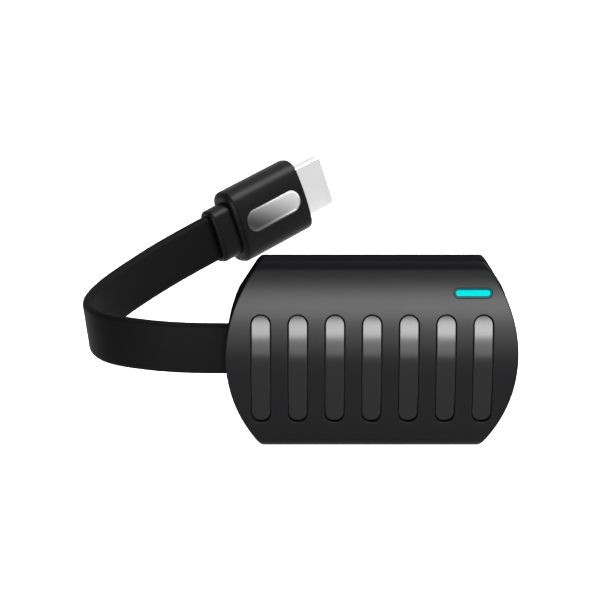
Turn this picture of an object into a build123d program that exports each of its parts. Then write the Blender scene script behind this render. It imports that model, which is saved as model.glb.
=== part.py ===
from build123d import *
import os
from math import radians, sqrt, tan

# Wireless display dongle: a crowned case, a short flat cable and a video plug.
# Millimetres. The origin is the centre of the plug's metal shell where it leaves the overmould,
# which is where the dongle is held. +X is along the case's length, +Y goes through its thickness
# to the back, and +Z is up. The plug points away to the right and slightly up.

# Case: a disc with two flats, crowned in front and flat in the middle of its back
case_centre = Vector(18.3, -74.5, -22.4)
case_length = 69.2
case_height = 46.0
case_thick = 13.0
front_crown = 3.0
back_flat = 28.0
back_drop = 2.3
front_edge_radius = 2.8
back_edge_radius = 2.2
plan_corner_radius = 1.8
wall = 1.5

# Joint between the two covers
split_y = 0.0
lip_wall = 0.7
lip_depth = 1.6
lip_gap = 0.1
hook_spacing = 24.0
hook_width = 5.0
hook_thick = 1.0
hook_reach = 1.4
hook_gap = 0.15
lip_notch_gap = 0.3
barb_height = 0.5
barb_depth = 1.0

# Bars set into the front face
bar_count = 7
bar_width = 4.6
bar_length = 26.7
bar_spread = 52.4
bar_centre_z = -2.9
bar_recess = 0.25
bar_thick = 0.65
bar_gap = 0.05

# Indicator window and its lamp
lens_inset = 11.0
lens_z = 15.7
lens_length = 8.6
lens_height = 1.75
lens_flange = 0.8
lens_flange_thick = 0.8
lens_gap = 0.05
lamp_length = 3.2
lamp_width = 1.5
lamp_height = 0.8
lamp_gap = 0.3

# Main board, its screws and bosses
board_front = 1.1
board_thick = 1.0
board_gap = 0.6
board_top_gap = 1.9
board_left_inset = 9.1
board_hole_gap = 0.1
boss_inset = 14.6
boss_z = 11.0
boss_radius = 2.1
screw_radius = 0.8
screw_gap = 0.05
screw_length = 4.2
screw_head_radius = 1.7
screw_head_height = 1.0
screw_sides = 12

# Parts on the back of the board
processor_size = 12.0
processor_height = 1.0
pad_size = 11.0
pad_thick = 0.4
spreader_gap = 0.95
spreader_height = 18.0
spreader_thick = 0.7
spreader_leg = 0.8
memory_gap = 1.75
memory_length = 7.5
memory_height = 11.0
memory_thick = 0.9

# Parts on the front of the board
flash_x = 7.5
flash_z = 8.5
flash_length = 12.0
flash_height = 10.5
flash_thick = 1.0
shield_gap = 0.9
shield_z = 8.5
shield_length = 14.0
shield_height = 11.0
shield_depth = 1.9
shield_wall = 0.25
shield_corner = 0.5
radio_size = 7.0
radio_thick = 0.9
antenna_x = -7.0
antenna_z = -17.3
antenna_length = 18.0
antenna_depth = 3.0
antenna_flange = 3.2
antenna_leg = 2.0
antenna_sheet = 0.3
crystal_x = 0.0
crystal_z = -3.5
crystal_length = 3.2
crystal_height = 2.5
crystal_thick = 0.8
inductor_x = 14.0
inductor_z = -4.5
inductor_size = 4.8
inductor_depth = 2.4
inductor_corner = 1.1
capacitor_count = 6
capacitor_gap = 3.0
capacitor_z = -10.5
capacitor_pitch = 2.6
capacitor_length = 1.6
capacitor_width = 0.8
capacitor_height = 0.8

# Micro power socket in the right end wall
socket_width = 7.5
socket_depth = 2.6
socket_length = 5.6
socket_bevel = 0.9
socket_sheet = 0.25
socket_recess = 0.7
socket_gap = 0.25
tongue_width = 3.9
tongue_thick = 0.6
tongue_reach = 3.4
socket_contact_count = 5
socket_contact_pitch = 0.65
socket_contact_width = 0.35
socket_contact_thick = 0.12
socket_contact_setback = 0.35

# Mode button beside the socket, and the switch behind it
button_y = -0.9
button_z = 9.6
button_length = 5.0
button_height = 2.2
button_gap = 0.15
button_rim = 0.6
button_rim_gap = 0.1
button_rim_thick = 0.65
button_travel = 0.35
switch_length = 4.6
switch_depth = 1.8
switch_gap = 0.1
plunger_radius = 0.7
plunger_reach = 0.9
plunger_gap = 0.07

# Flat cable from the left end of the case to the plug
cable_width = 12.4
cable_thick = 2.8
cable_z = 0.6
cable_recess = 0.8
cable_lead_out = 9.7
cable_lead_in = 12.4
cable_route = [
    Vector(-35.4, -74.1, -21.1),
    Vector(-45.6, -70.4, -20.6),
    Vector(-50.6, -60.3, -20.2),
    Vector(-48.9, -49.3, -18.8),
    Vector(-41.2, -37.4, -15.5),
]
cable_rolls = [0.0, 4.0, 5.0, 1.0, -5.0, -7.0, -8.0]
bend_share = 0.45

# Gland on the cable, trapped between ribs of the covers, and the cores behind it
gland_height = 15.8
gland_depth = 6.2
gland_length = 3.5
gland_setback = 1.2
gland_nose = 0.6
gland_gap = 0.1
gland_rib_thick = 1.2
gland_rib_height = 17.6
core_count = 8
core_radius = 0.45
core_sides = 8
core_pitch = 1.4
core_land = 3.0
core_rib_gap = 0.3

# Plug: its direction, and the overmould, collar, badge, shell and insides
plug_yaw = 40.1
plug_pitch = 15.6
plug_roll = -9.4
overmold_width = 20.0
overmold_thick = 9.6
overmold_length = 23.5
overmold_crown = 0.8
overmold_corner = 3.8
overmold_rear_bevel = 1.1
overmold_front_bevel = 0.4
collar_width = 14.6
collar_thick = 6.3
collar_length = 6.0
collar_crown = 0.4
collar_corner = 2.4
collar_rear_bevel = 0.7
badge_length = 18.6
badge_width = 5.9
badge_inset = 2.05
badge_thick = 0.6
badge_recess = 0.1
badge_gap = 0.05
shell_width = 13.9
shell_thick = 4.45
shell_reach = 9.8
shell_seat = 8.0
shell_bevel_y = 1.5
shell_bevel_z = 1.3
shell_corner = 0.4
shell_sheet = 0.3
insulator_recess = 1.0
plug_mouth_width = 11.8
plug_mouth_thick = 2.3
plug_mouth_depth = 7.4
plug_contact_count = 19
plug_contact_pitch = 1.0
plug_contact_width = 0.45
plug_contact_thick = 0.15
plug_contact_recess = 0.6
core_block_width = 15.0
core_block_thick = 6.2
core_block_length = 9.0

case_front_y = -case_thick / 2
case_back_y = case_thick / 2
case_right_x = case_length / 2
board_back = board_front + board_thick
board_left = board_left_inset - case_right_x
lens_x = case_right_x - lens_inset
boss_x = case_right_x - boss_inset
memory_x = processor_size / 2 + memory_gap + memory_length / 2
spreader_inner = 2 * memory_x + memory_length + 2 * spreader_gap
spreader_length = spreader_inner + 2 * spreader_leg
shield_x = boss_radius + shield_gap + shield_length / 2 - boss_x
last_capacitor_x = boss_x - boss_radius - capacitor_gap - capacitor_width / 2
capacitor_x = last_capacitor_x - (capacitor_count - 1) * capacitor_pitch

# The button's rim lies behind the round end wall, whose inside is nearest at the rim's top
button_top = button_z + button_length / 2 + button_rim
end_wall_x = sqrt((case_right_x - wall) ** 2 - button_top ** 2)
button_back_x = end_wall_x - button_rim_gap - button_rim_thick


def prism_y(sketch, low, high):
    """A sketch drawn on X and Z, as a solid from y = low to y = high."""
    return Pos(0, high, 0) * extrude(Plane.XZ * sketch, amount=high - low)


def prism_x(sketch, low, high):
    """A sketch drawn on Y and Z, as a solid from x = low to x = high."""
    return Pos(low, 0, 0) * extrude(Plane.YZ * sketch, amount=high - low)


def case_plan(inset):
    """The case seen from the front, with its outline moved inwards."""
    plan = Circle(case_length / 2) & Rectangle(case_length, case_height)
    plan = fillet(plan.vertices(), plan_corner_radius)
    return offset(plan, -inset, kind=Kind.INTERSECTION) if inset else plan


def case_section(inset):
    """The case cut across its length, on Y and Z, with its outline moved inwards."""
    half = case_height / 2
    flat = back_flat / 2
    shoulder = case_front_y + front_crown
    edge = case_back_y - back_drop
    outline = ThreePointArc((shoulder, -half), (case_front_y, 0), (shoulder, half))
    outline += Polyline((shoulder, half), (edge, half), (case_back_y, flat),
                        (case_back_y, -flat), (edge, -half), (shoulder, -half))
    section = make_face(outline)
    section = fillet(section.vertices().group_by(Axis.X)[0], front_edge_radius)
    section = fillet(section.vertices().group_by(Axis.X)[-2], back_edge_radius)
    return offset(section, -inset, kind=Kind.INTERSECTION) if inset else section


def case_form(inset=0.0):
    """The closed form of the case, with every face moved inwards."""
    plan = prism_y(case_plan(inset), -case_thick, case_thick)
    bar = prism_x(case_section(inset), -case_length, case_length)
    return plan & bar


def slab(low, high):
    """Everything between two values of y."""
    return Pos(0, (low + high) / 2, 0) * Box(2 * case_length, high - low, 2 * case_height)


def bars(grow):
    """The bars' outlines on X and Z, grown on every side."""
    pitch = bar_spread / (bar_count - 1)
    slot = Rot(0, 0, 90) * SlotOverall(bar_length + 2 * grow, bar_width + 2 * grow)
    first = -bar_spread / 2
    return [Pos(first + i * pitch, bar_centre_z) * slot for i in range(bar_count)]


def lens_outline(grow):
    return Pos(lens_x, lens_z) * SlotOverall(lens_length + 2 * grow, lens_height + 2 * grow)


def button_outline(grow):
    slot = Rot(0, 0, 90) * SlotOverall(button_length + 2 * grow, button_height + 2 * grow)
    return Pos(button_y, button_z) * slot


def socket_outline(grow):
    """The socket's outline on Y and Z: two corners away from the board are bevelled."""
    half = socket_width / 2 + grow
    low = board_front - socket_depth - grow
    high = board_front + grow
    bevel = socket_bevel + grow / 2
    return make_face(Polyline((high, half), (low + bevel, half), (low, half - bevel),
                              (low, bevel - half), (low + bevel, -half), (high, -half),
                              close=True))


def cable_outline(grow):
    """The cable's section on Y and Z where it leaves the case."""
    slot = Rot(0, 0, 90) * SlotOverall(cable_width + 2 * grow, cable_thick + 2 * grow)
    return Pos(0, cable_z) * slot


cable_start_x = cable_recess - case_right_x
gland_front_x = wall + gland_setback - case_right_x
gland_back_x = gland_front_x + gland_length
core_y = board_front - core_radius


def hook(side, x):
    """One snap hook of the back cover, on the top wall (side 1) or the bottom one (-1)."""
    root = case_height / 2 - wall - hook_gap
    tip = split_y - hook_reach
    arm = Pos(x, (tip + case_back_y) / 2, side * (root - hook_thick / 2))
    arm = arm * Box(hook_width, case_back_y - tip, hook_thick)
    barb = make_face(Polyline((tip, root), (tip + barb_depth, root),
                              (tip + barb_depth, root + barb_height), close=True))
    barb = prism_x(barb, x - hook_width / 2, x + hook_width / 2)
    if side < 0:
        barb = mirror(barb, about=Plane.XY)
    return (arm & case_form(wall / 2)) + barb


def hook_places():
    return [(side, x) for side in (1, -1) for x in (-hook_spacing / 2, hook_spacing / 2)]


def hook_window(side, x):
    """The pocket in the front cover's wall that a hook's barb snaps into."""
    depth = barb_height + hook_gap
    inner = case_height / 2 - wall
    low = split_y - hook_reach - hook_gap
    high = split_y - hook_reach + barb_depth + hook_gap
    window = Box(hook_width + 2 * hook_gap, high - low, depth)
    return Pos(x, (low + high) / 2, side * (inner + depth / 2)) * window


def lip_notch(side, x):
    """Room in the front cover's lip for a hook."""
    notch = Box(hook_width + 2 * lip_notch_gap, lip_depth, 2 * wall)
    return Pos(x, split_y + lip_depth / 2, side * case_height / 2) * notch


def boss_places():
    return [(x, z) for x in (-boss_x, boss_x) for z in (-boss_z, boss_z)]


def round_y(radius, x, z, low, high):
    return prism_y(Pos(x, z) * Circle(radius), low, high)


def gland_rib(low, high):
    """A rib behind the gland, from one cover's inside towards the cores."""
    x = gland_back_x + gland_gap + gland_rib_thick / 2
    rib = Box(gland_rib_thick, high - low, gland_rib_height)
    return (Pos(x, (low + high) / 2, cable_z) * rib) & case_form(wall / 2)


def case_openings():
    """What passes through the end walls: cable nose, socket and button."""
    nose = prism_x(cable_outline(gland_nose + gland_gap), -case_length, gland_back_x)
    socket = prism_x(socket_outline(socket_gap), case_right_x - 2 * wall, case_length)
    button = prism_x(button_outline(button_gap), button_back_x, case_length)
    return nose + socket + button


def front_cover():
    shell = case_form() - case_form(wall)
    cover = shell & slab(-case_thick, split_y)
    lip = case_form(wall - lip_wall) - case_form(wall)
    cover += lip & slab(split_y, split_y + lip_depth)
    for side, x in hook_places():
        cover -= hook_window(side, x)
        cover -= lip_notch(side, x)
    core_edge = core_y - core_radius - core_rib_gap
    cover += gland_rib(-case_thick, core_edge)
    for x, z in boss_places():
        boss = round_y(boss_radius, x, z, -case_thick, board_front)
        cover += boss & case_form(wall / 2)
        hole_floor = board_back - screw_length
        cover -= round_y(screw_radius + screw_gap, x, z, hole_floor, board_front)
    pocket_floor = case_form(bar_recess + bar_thick)
    for outline in bars(bar_gap):
        cover -= prism_y(outline, -case_thick, 0) - pocket_floor
    cover -= prism_y(lens_outline(lens_gap), -case_thick, 0)
    return cover - case_openings()


def back_cover():
    shell = case_form() - case_form(wall)
    cover = shell & slab(split_y, case_thick)
    groove = case_form(wall - lip_wall - lip_gap) & slab(split_y, split_y + lip_depth + lip_gap)
    cover -= groove
    core_edge = core_y + core_radius + core_rib_gap
    cover += gland_rib(core_edge, case_thick)
    for side, x in hook_places():
        cover += hook(side, x)
    return cover - case_openings()


def face_bars():
    """Polished bars seated in the pockets of the front cover, a little below its face."""
    layer = case_form(bar_recess) - case_form(bar_recess + bar_thick)
    front = layer & slab(-case_thick, 0)
    return Compound([prism_y(outline, -case_thick, 0) & front for outline in bars(0)])


def indicator_lens():
    """Light pipe: flush with the face, with a flange behind the wall."""
    lamp_face = board_front - lamp_height - lamp_gap
    pipe = prism_y(lens_outline(0), -case_thick, lamp_face) & case_form()
    flange = prism_y(lens_outline(lens_flange), -case_thick, lamp_face)
    flange = flange & (case_form(wall) - case_form(wall + lens_flange_thick))
    return pipe + flange


def on_front(x, z, length, height, depth):
    """A block that stands on the board's front face."""
    return Pos(x, board_front - depth / 2, z) * Box(length, depth, height)


def on_back(x, z, length, height, depth):
    """A block that stands on the board's back face."""
    return Pos(x, board_back + depth / 2, z) * Box(length, depth, height)


def main_board():
    outline = case_plan(wall + board_gap)
    right_part = Rectangle(2 * case_length, case_height - 2 * (wall + board_top_gap))
    outline = outline & Pos(board_left + case_length, 0) * right_part
    board = prism_y(outline, board_front, board_back)
    for x, z in boss_places():
        board -= round_y(screw_radius + board_hole_gap, x, z, board_front, board_back)
    return board


def board_screws():
    """Plain pan heads and shanks, drawn with few sides."""
    shank = RegularPolygon(screw_radius, screw_sides)
    head = RegularPolygon(screw_head_radius, screw_sides)
    screws = []
    for x, z in boss_places():
        screw = prism_y(Pos(x, z) * shank, board_back - screw_length, board_back)
        screw += prism_y(Pos(x, z) * head, board_back, board_back + screw_head_height)
        screws.append(screw)
    return Compound(screws)


def heat_spreader():
    """A stamped plate on the thermal pad, with a leg down to the board at each end."""
    plate_back = board_back + processor_height + pad_thick + spreader_thick
    depth = plate_back - board_back
    plate = on_back(0, 0, spreader_length, spreader_height, depth)
    room = depth - spreader_thick
    return plate - on_back(0, 0, spreader_inner, spreader_height, room)


def thermal_pad():
    pad = Box(pad_size, pad_thick, pad_size)
    return Pos(0, board_back + processor_height + pad_thick / 2, 0) * pad


def memory_chips():
    sides = (-memory_x, memory_x)
    return Compound([on_back(x, 0, memory_length, memory_height, memory_thick) for x in sides])


def wireless_shield():
    """A drawn can, open towards the board."""
    can = on_front(shield_x, shield_z, shield_length, shield_height, shield_depth)
    upright = can.edges().filter_by(Axis.Y)
    can = fillet(upright, shield_corner)
    inner_length = shield_length - 2 * shield_wall
    inner_height = shield_height - 2 * shield_wall
    inner_depth = shield_depth - shield_wall
    return can - on_front(shield_x, shield_z, inner_length, inner_height, inner_depth)


def antenna():
    """Folded sheet: two feet on the board, an upright strip and a flange over the board."""
    upright = on_front(antenna_x, antenna_z, antenna_length, antenna_sheet, antenna_depth)
    between = antenna_length - 2 * antenna_leg
    upright -= on_front(antenna_x, antenna_z, between, antenna_sheet, antenna_depth / 2)
    flange_z = antenna_z + (antenna_flange - antenna_sheet) / 2
    flange = Box(antenna_length, antenna_sheet, antenna_flange)
    flange_y = board_front - antenna_depth + antenna_sheet / 2
    return upright + Pos(antenna_x, flange_y, flange_z) * flange


def power_inductor():
    block = on_front(inductor_x, inductor_z, inductor_size, inductor_size, inductor_depth)
    return chamfer(block.edges().filter_by(Axis.Y), inductor_corner)


def capacitors():
    row = []
    for i in range(capacitor_count):
        x = capacitor_x + i * capacitor_pitch
        row.append(on_front(x, capacitor_z, capacitor_width, capacitor_length, capacitor_height))
    return Compound(row)


socket_mouth_x = case_right_x - socket_recess
socket_back_x = socket_mouth_x - socket_length
socket_axis_y = board_front - socket_depth / 2


def power_socket_shell():
    shell = prism_x(socket_outline(0), socket_back_x, socket_mouth_x)
    return shell - prism_x(socket_outline(-socket_sheet), socket_back_x, socket_mouth_x)


def power_socket_tongue():
    """A block at the back of the shell that carries the thin tongue."""
    base_front_x = socket_mouth_x - socket_sheet - tongue_reach
    base = prism_x(socket_outline(-socket_sheet), socket_back_x, base_front_x)
    tongue = Rectangle(tongue_thick, tongue_width)
    tongue_front_x = base_front_x + tongue_reach
    return base + prism_x(Pos(socket_axis_y, 0) * tongue, base_front_x, tongue_front_x)


def power_socket_contacts():
    """Flat contacts on the tongue's face away from the board."""
    low_x = socket_mouth_x - socket_sheet - tongue_reach
    y = socket_axis_y - tongue_thick / 2 - socket_contact_thick / 2
    strip = Rectangle(socket_contact_thick, socket_contact_width)
    first = -(socket_contact_count - 1) / 2
    places = [(first + i) * socket_contact_pitch for i in range(socket_contact_count)]
    high_x = low_x + tongue_reach - socket_contact_setback
    return Compound([prism_x(Pos(y, z) * strip, low_x, high_x) for z in places])


def mode_button():
    """A cap flush with the end wall, with a rim behind the wall that keeps it in."""
    cap = prism_x(button_outline(0), button_back_x, case_length) & case_form()
    rim = prism_x(button_outline(button_rim), button_back_x, case_length)
    return cap + (rim & case_form(wall + button_rim_gap))


def switch_plunger():
    tip = Pos(button_y, button_z) * Circle(plunger_radius)
    return prism_x(tip, button_back_x - plunger_reach, button_back_x)


def switch_body():
    """The switch's case, open to the plunger, standing on the board."""
    front_x = button_back_x - button_travel - switch_gap
    depth = board_front - (button_y - button_height / 2)
    body = on_front(front_x - switch_depth / 2, button_z, switch_depth, switch_length, depth)
    hole = Pos(button_y, button_z) * Circle(plunger_radius + plunger_gap)
    hole_back_x = button_back_x - plunger_reach - button_travel - plunger_gap
    return body - prism_x(hole, hole_back_x, case_length)


def cable_gland():
    """The block moulded on the cable: a collar inside the wall and a nose through it."""
    block = Pos(0, cable_z) * RectangleRounded(gland_depth, gland_height, gland_nose)
    body = prism_x(block, gland_front_x, gland_back_x)
    nose = prism_x(cable_outline(gland_nose), cable_start_x, gland_front_x)
    return body + nose


def cable_cores():
    """Insulated cores from the gland to the board, where they lie on its front face."""
    row = []
    for i in range(core_count):
        z = cable_z + (i - (core_count - 1) / 2) * core_pitch
        core = Pos(core_y, z) * RegularPolygon(core_radius, core_sides)
        row.append(prism_x(core, gland_back_x, board_left + core_land))
    return Compound(row)


plug_pose = Rot(0, 0, plug_yaw) * Rot(0, -plug_pitch, 0) * Rot(plug_roll, 0, 0)
plug_axis = (plug_pose * Pos(1, 0, 0)).position


def bend_radii(points):
    """For each corner, the largest arc that its two runs allow."""
    radii = []
    for a, b, c in zip(points, points[1:], points[2:]):
        turn = (b - a).get_angle(c - b)
        run = min((b - a).length, (c - b).length)
        radii.append(bend_share * run / tan(radians(turn / 2)))
    return radii


def cable_points():
    start = case_centre + Vector(cable_start_x, 0, cable_z)
    end = plug_axis * -(overmold_length + collar_length)
    lead_out = start - Vector(cable_lead_out, 0, 0)
    lead_in = end - plug_axis * cable_lead_in
    return [start, lead_out] + cable_route + [lead_in, end]


def edge_points(points):
    """A line beside the route, along the upper edge of the turning cable."""
    rolls = cable_rolls + [plug_roll, plug_roll]
    line = []
    for i, roll in enumerate(rolls):
        before = points[max(i - 1, 0)]
        after = points[min(i + 1, len(points) - 1)]
        along = (after - before).normalized()
        side = Vector(0, 0, 1).cross(along).normalized()
        up = along.cross(side)
        turned = up.rotate(Axis((0, 0, 0), along), roll)
        line.append(points[i] + turned * (cable_width / 2))
    return line


def flat_cable():
    points = cable_points()
    radii = bend_radii(points)
    path = FilletPolyline(*points, radius=radii)
    edge_line = edge_points(points)
    edge = FilletPolyline(*edge_line, radius=bend_radii(edge_line))
    section = Plane.YZ * Rectangle(cable_thick, cable_width)
    cable = sweep(Pos(*points[0]) * section, path=path, binormal=edge)
    print("cable length", round(path.length, 1), "radii", [round(r, 1) for r in radii])
    ideal = section.face().area * path.length
    print("cable volume", round(cable.volume, 1), "section times length", round(ideal, 1))
    return cable


def crowned(width, thick, crown, corner):
    """A rounded section on Y and Z whose two wide faces bulge."""
    half = width / 2
    edge = thick / 2 - crown
    outline = ThreePointArc((edge, -half), (thick / 2, 0), (edge, half))
    outline += Line((edge, half), (-edge, half))
    outline += ThreePointArc((-edge, half), (-thick / 2, 0), (-edge, -half))
    outline += Line((-edge, -half), (edge, -half))
    section = make_face(outline)
    return fillet(section.vertices(), corner)


def overmold_section():
    return crowned(overmold_width, overmold_thick, overmold_crown, overmold_corner)


def shell_section(inset):
    """The plug shell's outline on Y and Z, with its two bevelled corners at the back."""
    half = shell_width / 2
    deep = shell_thick / 2
    outline = Polyline((-deep, -half), (-deep, half), (deep - shell_bevel_y, half),
                       (deep, half - shell_bevel_z), (deep, shell_bevel_z - half),
                       (deep - shell_bevel_y, -half), close=True)
    face = make_face(outline)
    face = fillet(face.vertices(), shell_corner)
    return offset(face, -inset) if inset else face


def badge_outline(grow):
    centre = Pos(-badge_inset - badge_length / 2, 0)
    return centre * SlotOverall(badge_length + 2 * grow, badge_width + 2 * grow)


def overmold_layer(depth):
    """The overmould's plain form with its long faces moved inwards."""
    return prism_x(offset(overmold_section(), -depth), -overmold_length, 0)


def plug_overmold():
    body = prism_x(overmold_section(), -overmold_length, 0)
    rear = body.faces().sort_by(Axis.X)[0]
    body = chamfer(rear.edges(), overmold_rear_bevel)
    front = body.faces().sort_by(Axis.X)[-1]
    body = chamfer(front.edges(), overmold_front_bevel)
    pocket = prism_y(badge_outline(badge_gap), -overmold_thick, 0)
    body -= pocket - overmold_layer(badge_recess + badge_thick)
    return body - prism_x(shell_section(0), -shell_seat, 0) - core_block()


def core_block():
    block = RectangleRounded(core_block_thick, core_block_width, shell_corner)
    return prism_x(block, -shell_seat - core_block_length, -shell_seat)


def plug_collar():
    section = crowned(collar_width, collar_thick, collar_crown, collar_corner)
    rear_x = -overmold_length - collar_length
    collar = prism_x(section, rear_x, -overmold_length)
    rear = collar.faces().sort_by(Axis.X)[0]
    return chamfer(rear.edges(), collar_rear_bevel)


def plug_badge():
    """A pill of sheet metal, seated in its pocket and following the bulge."""
    layer = overmold_layer(badge_recess) - overmold_layer(badge_recess + badge_thick)
    return prism_y(badge_outline(0), -overmold_thick, 0) & layer


def plug_shell():
    tube = prism_x(shell_section(0), -shell_seat, shell_reach)
    return tube - prism_x(shell_section(shell_sheet), -shell_seat, shell_reach)


def plug_insulator():
    """The block inside the shell, with the mouth that takes the socket's tongue."""
    front_x = shell_reach - insulator_recess
    block = prism_x(shell_section(shell_sheet), -shell_seat, front_x)
    mouth = Rectangle(plug_mouth_thick, plug_mouth_width)
    return block - prism_x(mouth, front_x - plug_mouth_depth, front_x)


def plug_contacts():
    """Two rows of contacts on the mouth's wide walls, the second set half a pitch over."""
    front_x = shell_reach - insulator_recess
    strip = Rectangle(plug_contact_thick, plug_contact_width)
    contacts = []
    for i in range(plug_contact_count):
        side = 1 if i % 2 else -1
        y = side * (plug_mouth_thick - plug_contact_thick) / 2
        z = (i - (plug_contact_count - 1) / 2) * plug_contact_pitch / 2
        low_x = front_x - plug_mouth_depth
        high_x = front_x - plug_contact_recess
        contacts.append(prism_x(Pos(y, z) * strip, low_x, high_x))
    return Compound(contacts)


case_nodes = {
    "front_cover": front_cover,
    "back_cover": back_cover,
    "face_bars": face_bars,
    "indicator_lens": indicator_lens,
    "main_board": main_board,
    "board_screws": board_screws,
    "processor": lambda: on_back(0, 0, processor_size, processor_size, processor_height),
    "thermal_pad": thermal_pad,
    "heat_spreader": heat_spreader,
    "memory_chips": memory_chips,
    "flash_chip": lambda: on_front(flash_x, flash_z, flash_length, flash_height, flash_thick),
    "wireless_shield": wireless_shield,
    "wireless_chip": lambda: on_front(shield_x, shield_z, radio_size, radio_size, radio_thick),
    "antenna": antenna,
    "indicator_lamp": lambda: on_front(lens_x, lens_z, lamp_length, lamp_width, lamp_height),
    "crystal": lambda: on_front(crystal_x, crystal_z, crystal_length, crystal_height,
                                crystal_thick),
    "power_inductor": power_inductor,
    "capacitors": capacitors,
    "power_socket_shell": power_socket_shell,
    "power_socket_tongue": power_socket_tongue,
    "power_socket_contacts": power_socket_contacts,
    "mode_button": mode_button,
    "switch_plunger": switch_plunger,
    "switch_body": switch_body,
    "cable_gland": cable_gland,
    "cable_cores": cable_cores,
}

plug_nodes = {
    "plug_overmold": plug_overmold,
    "plug_collar": plug_collar,
    "plug_badge": plug_badge,
    "plug_shell": plug_shell,
    "plug_insulator": plug_insulator,
    "plug_contacts": plug_contacts,
    "plug_core_block": core_block,
}

os.makedirs("parts", exist_ok=True)
for name, make in case_nodes.items():
    export_step(Pos(*case_centre) * make(), f"parts/{name}.step")
for name, make in plug_nodes.items():
    export_step(plug_pose * make(), f"parts/{name}.step")
export_step(flat_cable(), "parts/flat_cable.step")
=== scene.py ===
"""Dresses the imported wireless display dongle: satin black case, flat cable, video plug."""

from math import asin, atan2, cos, pi, radians, sin, sqrt, tan

import bmesh
import bpy
from mathutils import Matrix, Vector


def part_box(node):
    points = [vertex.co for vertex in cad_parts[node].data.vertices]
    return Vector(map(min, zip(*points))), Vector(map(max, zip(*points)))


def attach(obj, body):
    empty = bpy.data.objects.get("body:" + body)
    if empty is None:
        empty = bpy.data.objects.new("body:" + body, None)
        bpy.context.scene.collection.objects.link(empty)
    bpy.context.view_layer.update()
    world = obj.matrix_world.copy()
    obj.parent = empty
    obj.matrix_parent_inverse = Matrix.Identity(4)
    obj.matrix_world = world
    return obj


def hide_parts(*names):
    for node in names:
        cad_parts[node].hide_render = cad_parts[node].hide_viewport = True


bl_info = {
    "name": "Wireless display dongle",
    "version": (1, 0, 0),
    "blender": (4, 5, 0),
    "location": "3D View > Sidebar > Dongle",
    "description": "Dresses the packed dongle: moulded case, flat cable and video plug",
    "category": "Object",
}

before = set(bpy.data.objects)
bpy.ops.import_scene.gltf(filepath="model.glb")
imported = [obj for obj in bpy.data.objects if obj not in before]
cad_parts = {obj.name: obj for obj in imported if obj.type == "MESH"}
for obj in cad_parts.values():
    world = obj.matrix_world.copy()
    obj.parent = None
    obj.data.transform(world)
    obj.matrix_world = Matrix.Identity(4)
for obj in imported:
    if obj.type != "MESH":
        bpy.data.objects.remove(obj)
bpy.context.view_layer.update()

MM = 0.001

# The case's box at rest, from its two covers
front_low, front_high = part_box("front_cover")
back_low, back_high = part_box("back_cover")
case_centre = Vector(((front_low.x + front_high.x) / 2, (front_low.y + back_high.y) / 2,
                      (front_low.z + front_high.z) / 2))
case_half_length = (front_high.x - front_low.x) / 2
case_half_height = (front_high.z - front_low.z) / 2
case_front = front_low.y - case_centre.y
case_back = back_high.y - case_centre.y

# Driving sizes of the case's form, which the solids are cut to
front_crown = 3.0 * MM
back_flat = 14.0 * MM
back_drop = 2.3 * MM
front_edge_radius = 2.8 * MM
back_edge_radius = 2.2 * MM
plan_corner_radius = 1.8 * MM
inner_edge = 0.05 * MM
case_wall = 1.5 * MM
split_y = 0.0

# A clearance too fine to see, which keeps two surfaces apart
hair = 0.02 * MM

# Points closer than this are one
weld = 2e-7
speck = 1e-7

# The plug's own frame: it leaves the row frame's origin in this direction
plug_yaw = 40.1
plug_pitch = 15.6
plug_roll = -9.4
plug_pose = (Matrix.Rotation(radians(plug_yaw), 4, "Z")
             @ Matrix.Rotation(radians(-plug_pitch), 4, "Y")
             @ Matrix.Rotation(radians(plug_roll), 4, "X"))
plug_axis = plug_pose @ Vector((1, 0, 0))


def size(name, description, millimetres):
    """A length that a user may change."""
    return bpy.props.FloatProperty(name=name, description=description,
                                   default=millimetres * MM, unit="LENGTH", precision=5)


def hex_colour(name, description, default):
    """A finish's colour that a user may change."""
    return bpy.props.StringProperty(name=name, description=description + ", sRGB hex",
                                    default=default)


class CaseSizes(bpy.types.PropertyGroup):
    edge: size("End edge radius", "Rounding where the face meets the end walls", 0.32)
    joint: size("Joint bevel", "Bevel on each cover where the two covers meet", 0.16)
    rim: size("Rim radius", "Rounding round each opening and pocket", 0.22)
    columns: bpy.props.IntProperty(
        name="Columns", description="Columns of faces along the case", default=44)
    rows: bpy.props.IntProperty(
        name="Rows", description="Rows of faces across the crown", default=36)


class BarSizes(bpy.types.PropertyGroup):
    count: bpy.props.IntProperty(
        name="Bars", description="How many bars are set into the face", default=7)
    width: size("Width", "Width of one bar", 4.6)
    length: size("Length", "Length of one bar", 26.7)
    spread: size("Spread", "From the middle of the first bar to that of the last", 52.4)
    centre_z: size("Height", "The bars' middle above the case's middle", -2.9)
    recess: size("Recess", "How far a bar's middle lies below the face", -0.1)
    thick: size("Thickness", "Thickness of a bar's middle", 1.0)
    dome: size("Dome", "How much lower a bar's ends lie than its middle", 0.72)
    gap: size("Gap", "Clearance between a bar and its pocket", 0.05)
    edge: size("Edge radius", "Rounding of a bar's own edge", 0.24)


class CableSizes(bpy.types.PropertyGroup):
    width: size("Width", "Width of the flat cable", 12.4)
    thick: size("Thickness", "Thickness of the flat cable", 2.8)
    edge: size("Edge radius", "Rounding of the cable's long edges", 1.15)
    samples: bpy.props.IntProperty(
        name="Samples", description="Points on each span of the cable's line", default=26)


class PlugSizes(bpy.types.PropertyGroup):
    rear: size("Rear radius", "Rounding of the overmould's rear edge", 1.5)
    front: size("Front radius", "Rounding of the overmould's front edge", 0.45)
    badge_rim: size("Badge rim", "Width of the bright cut edge round the badge", 0.34)
    lip: size("Shell lip", "Rounding at the mouth of the metal shell", 0.12)


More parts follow.
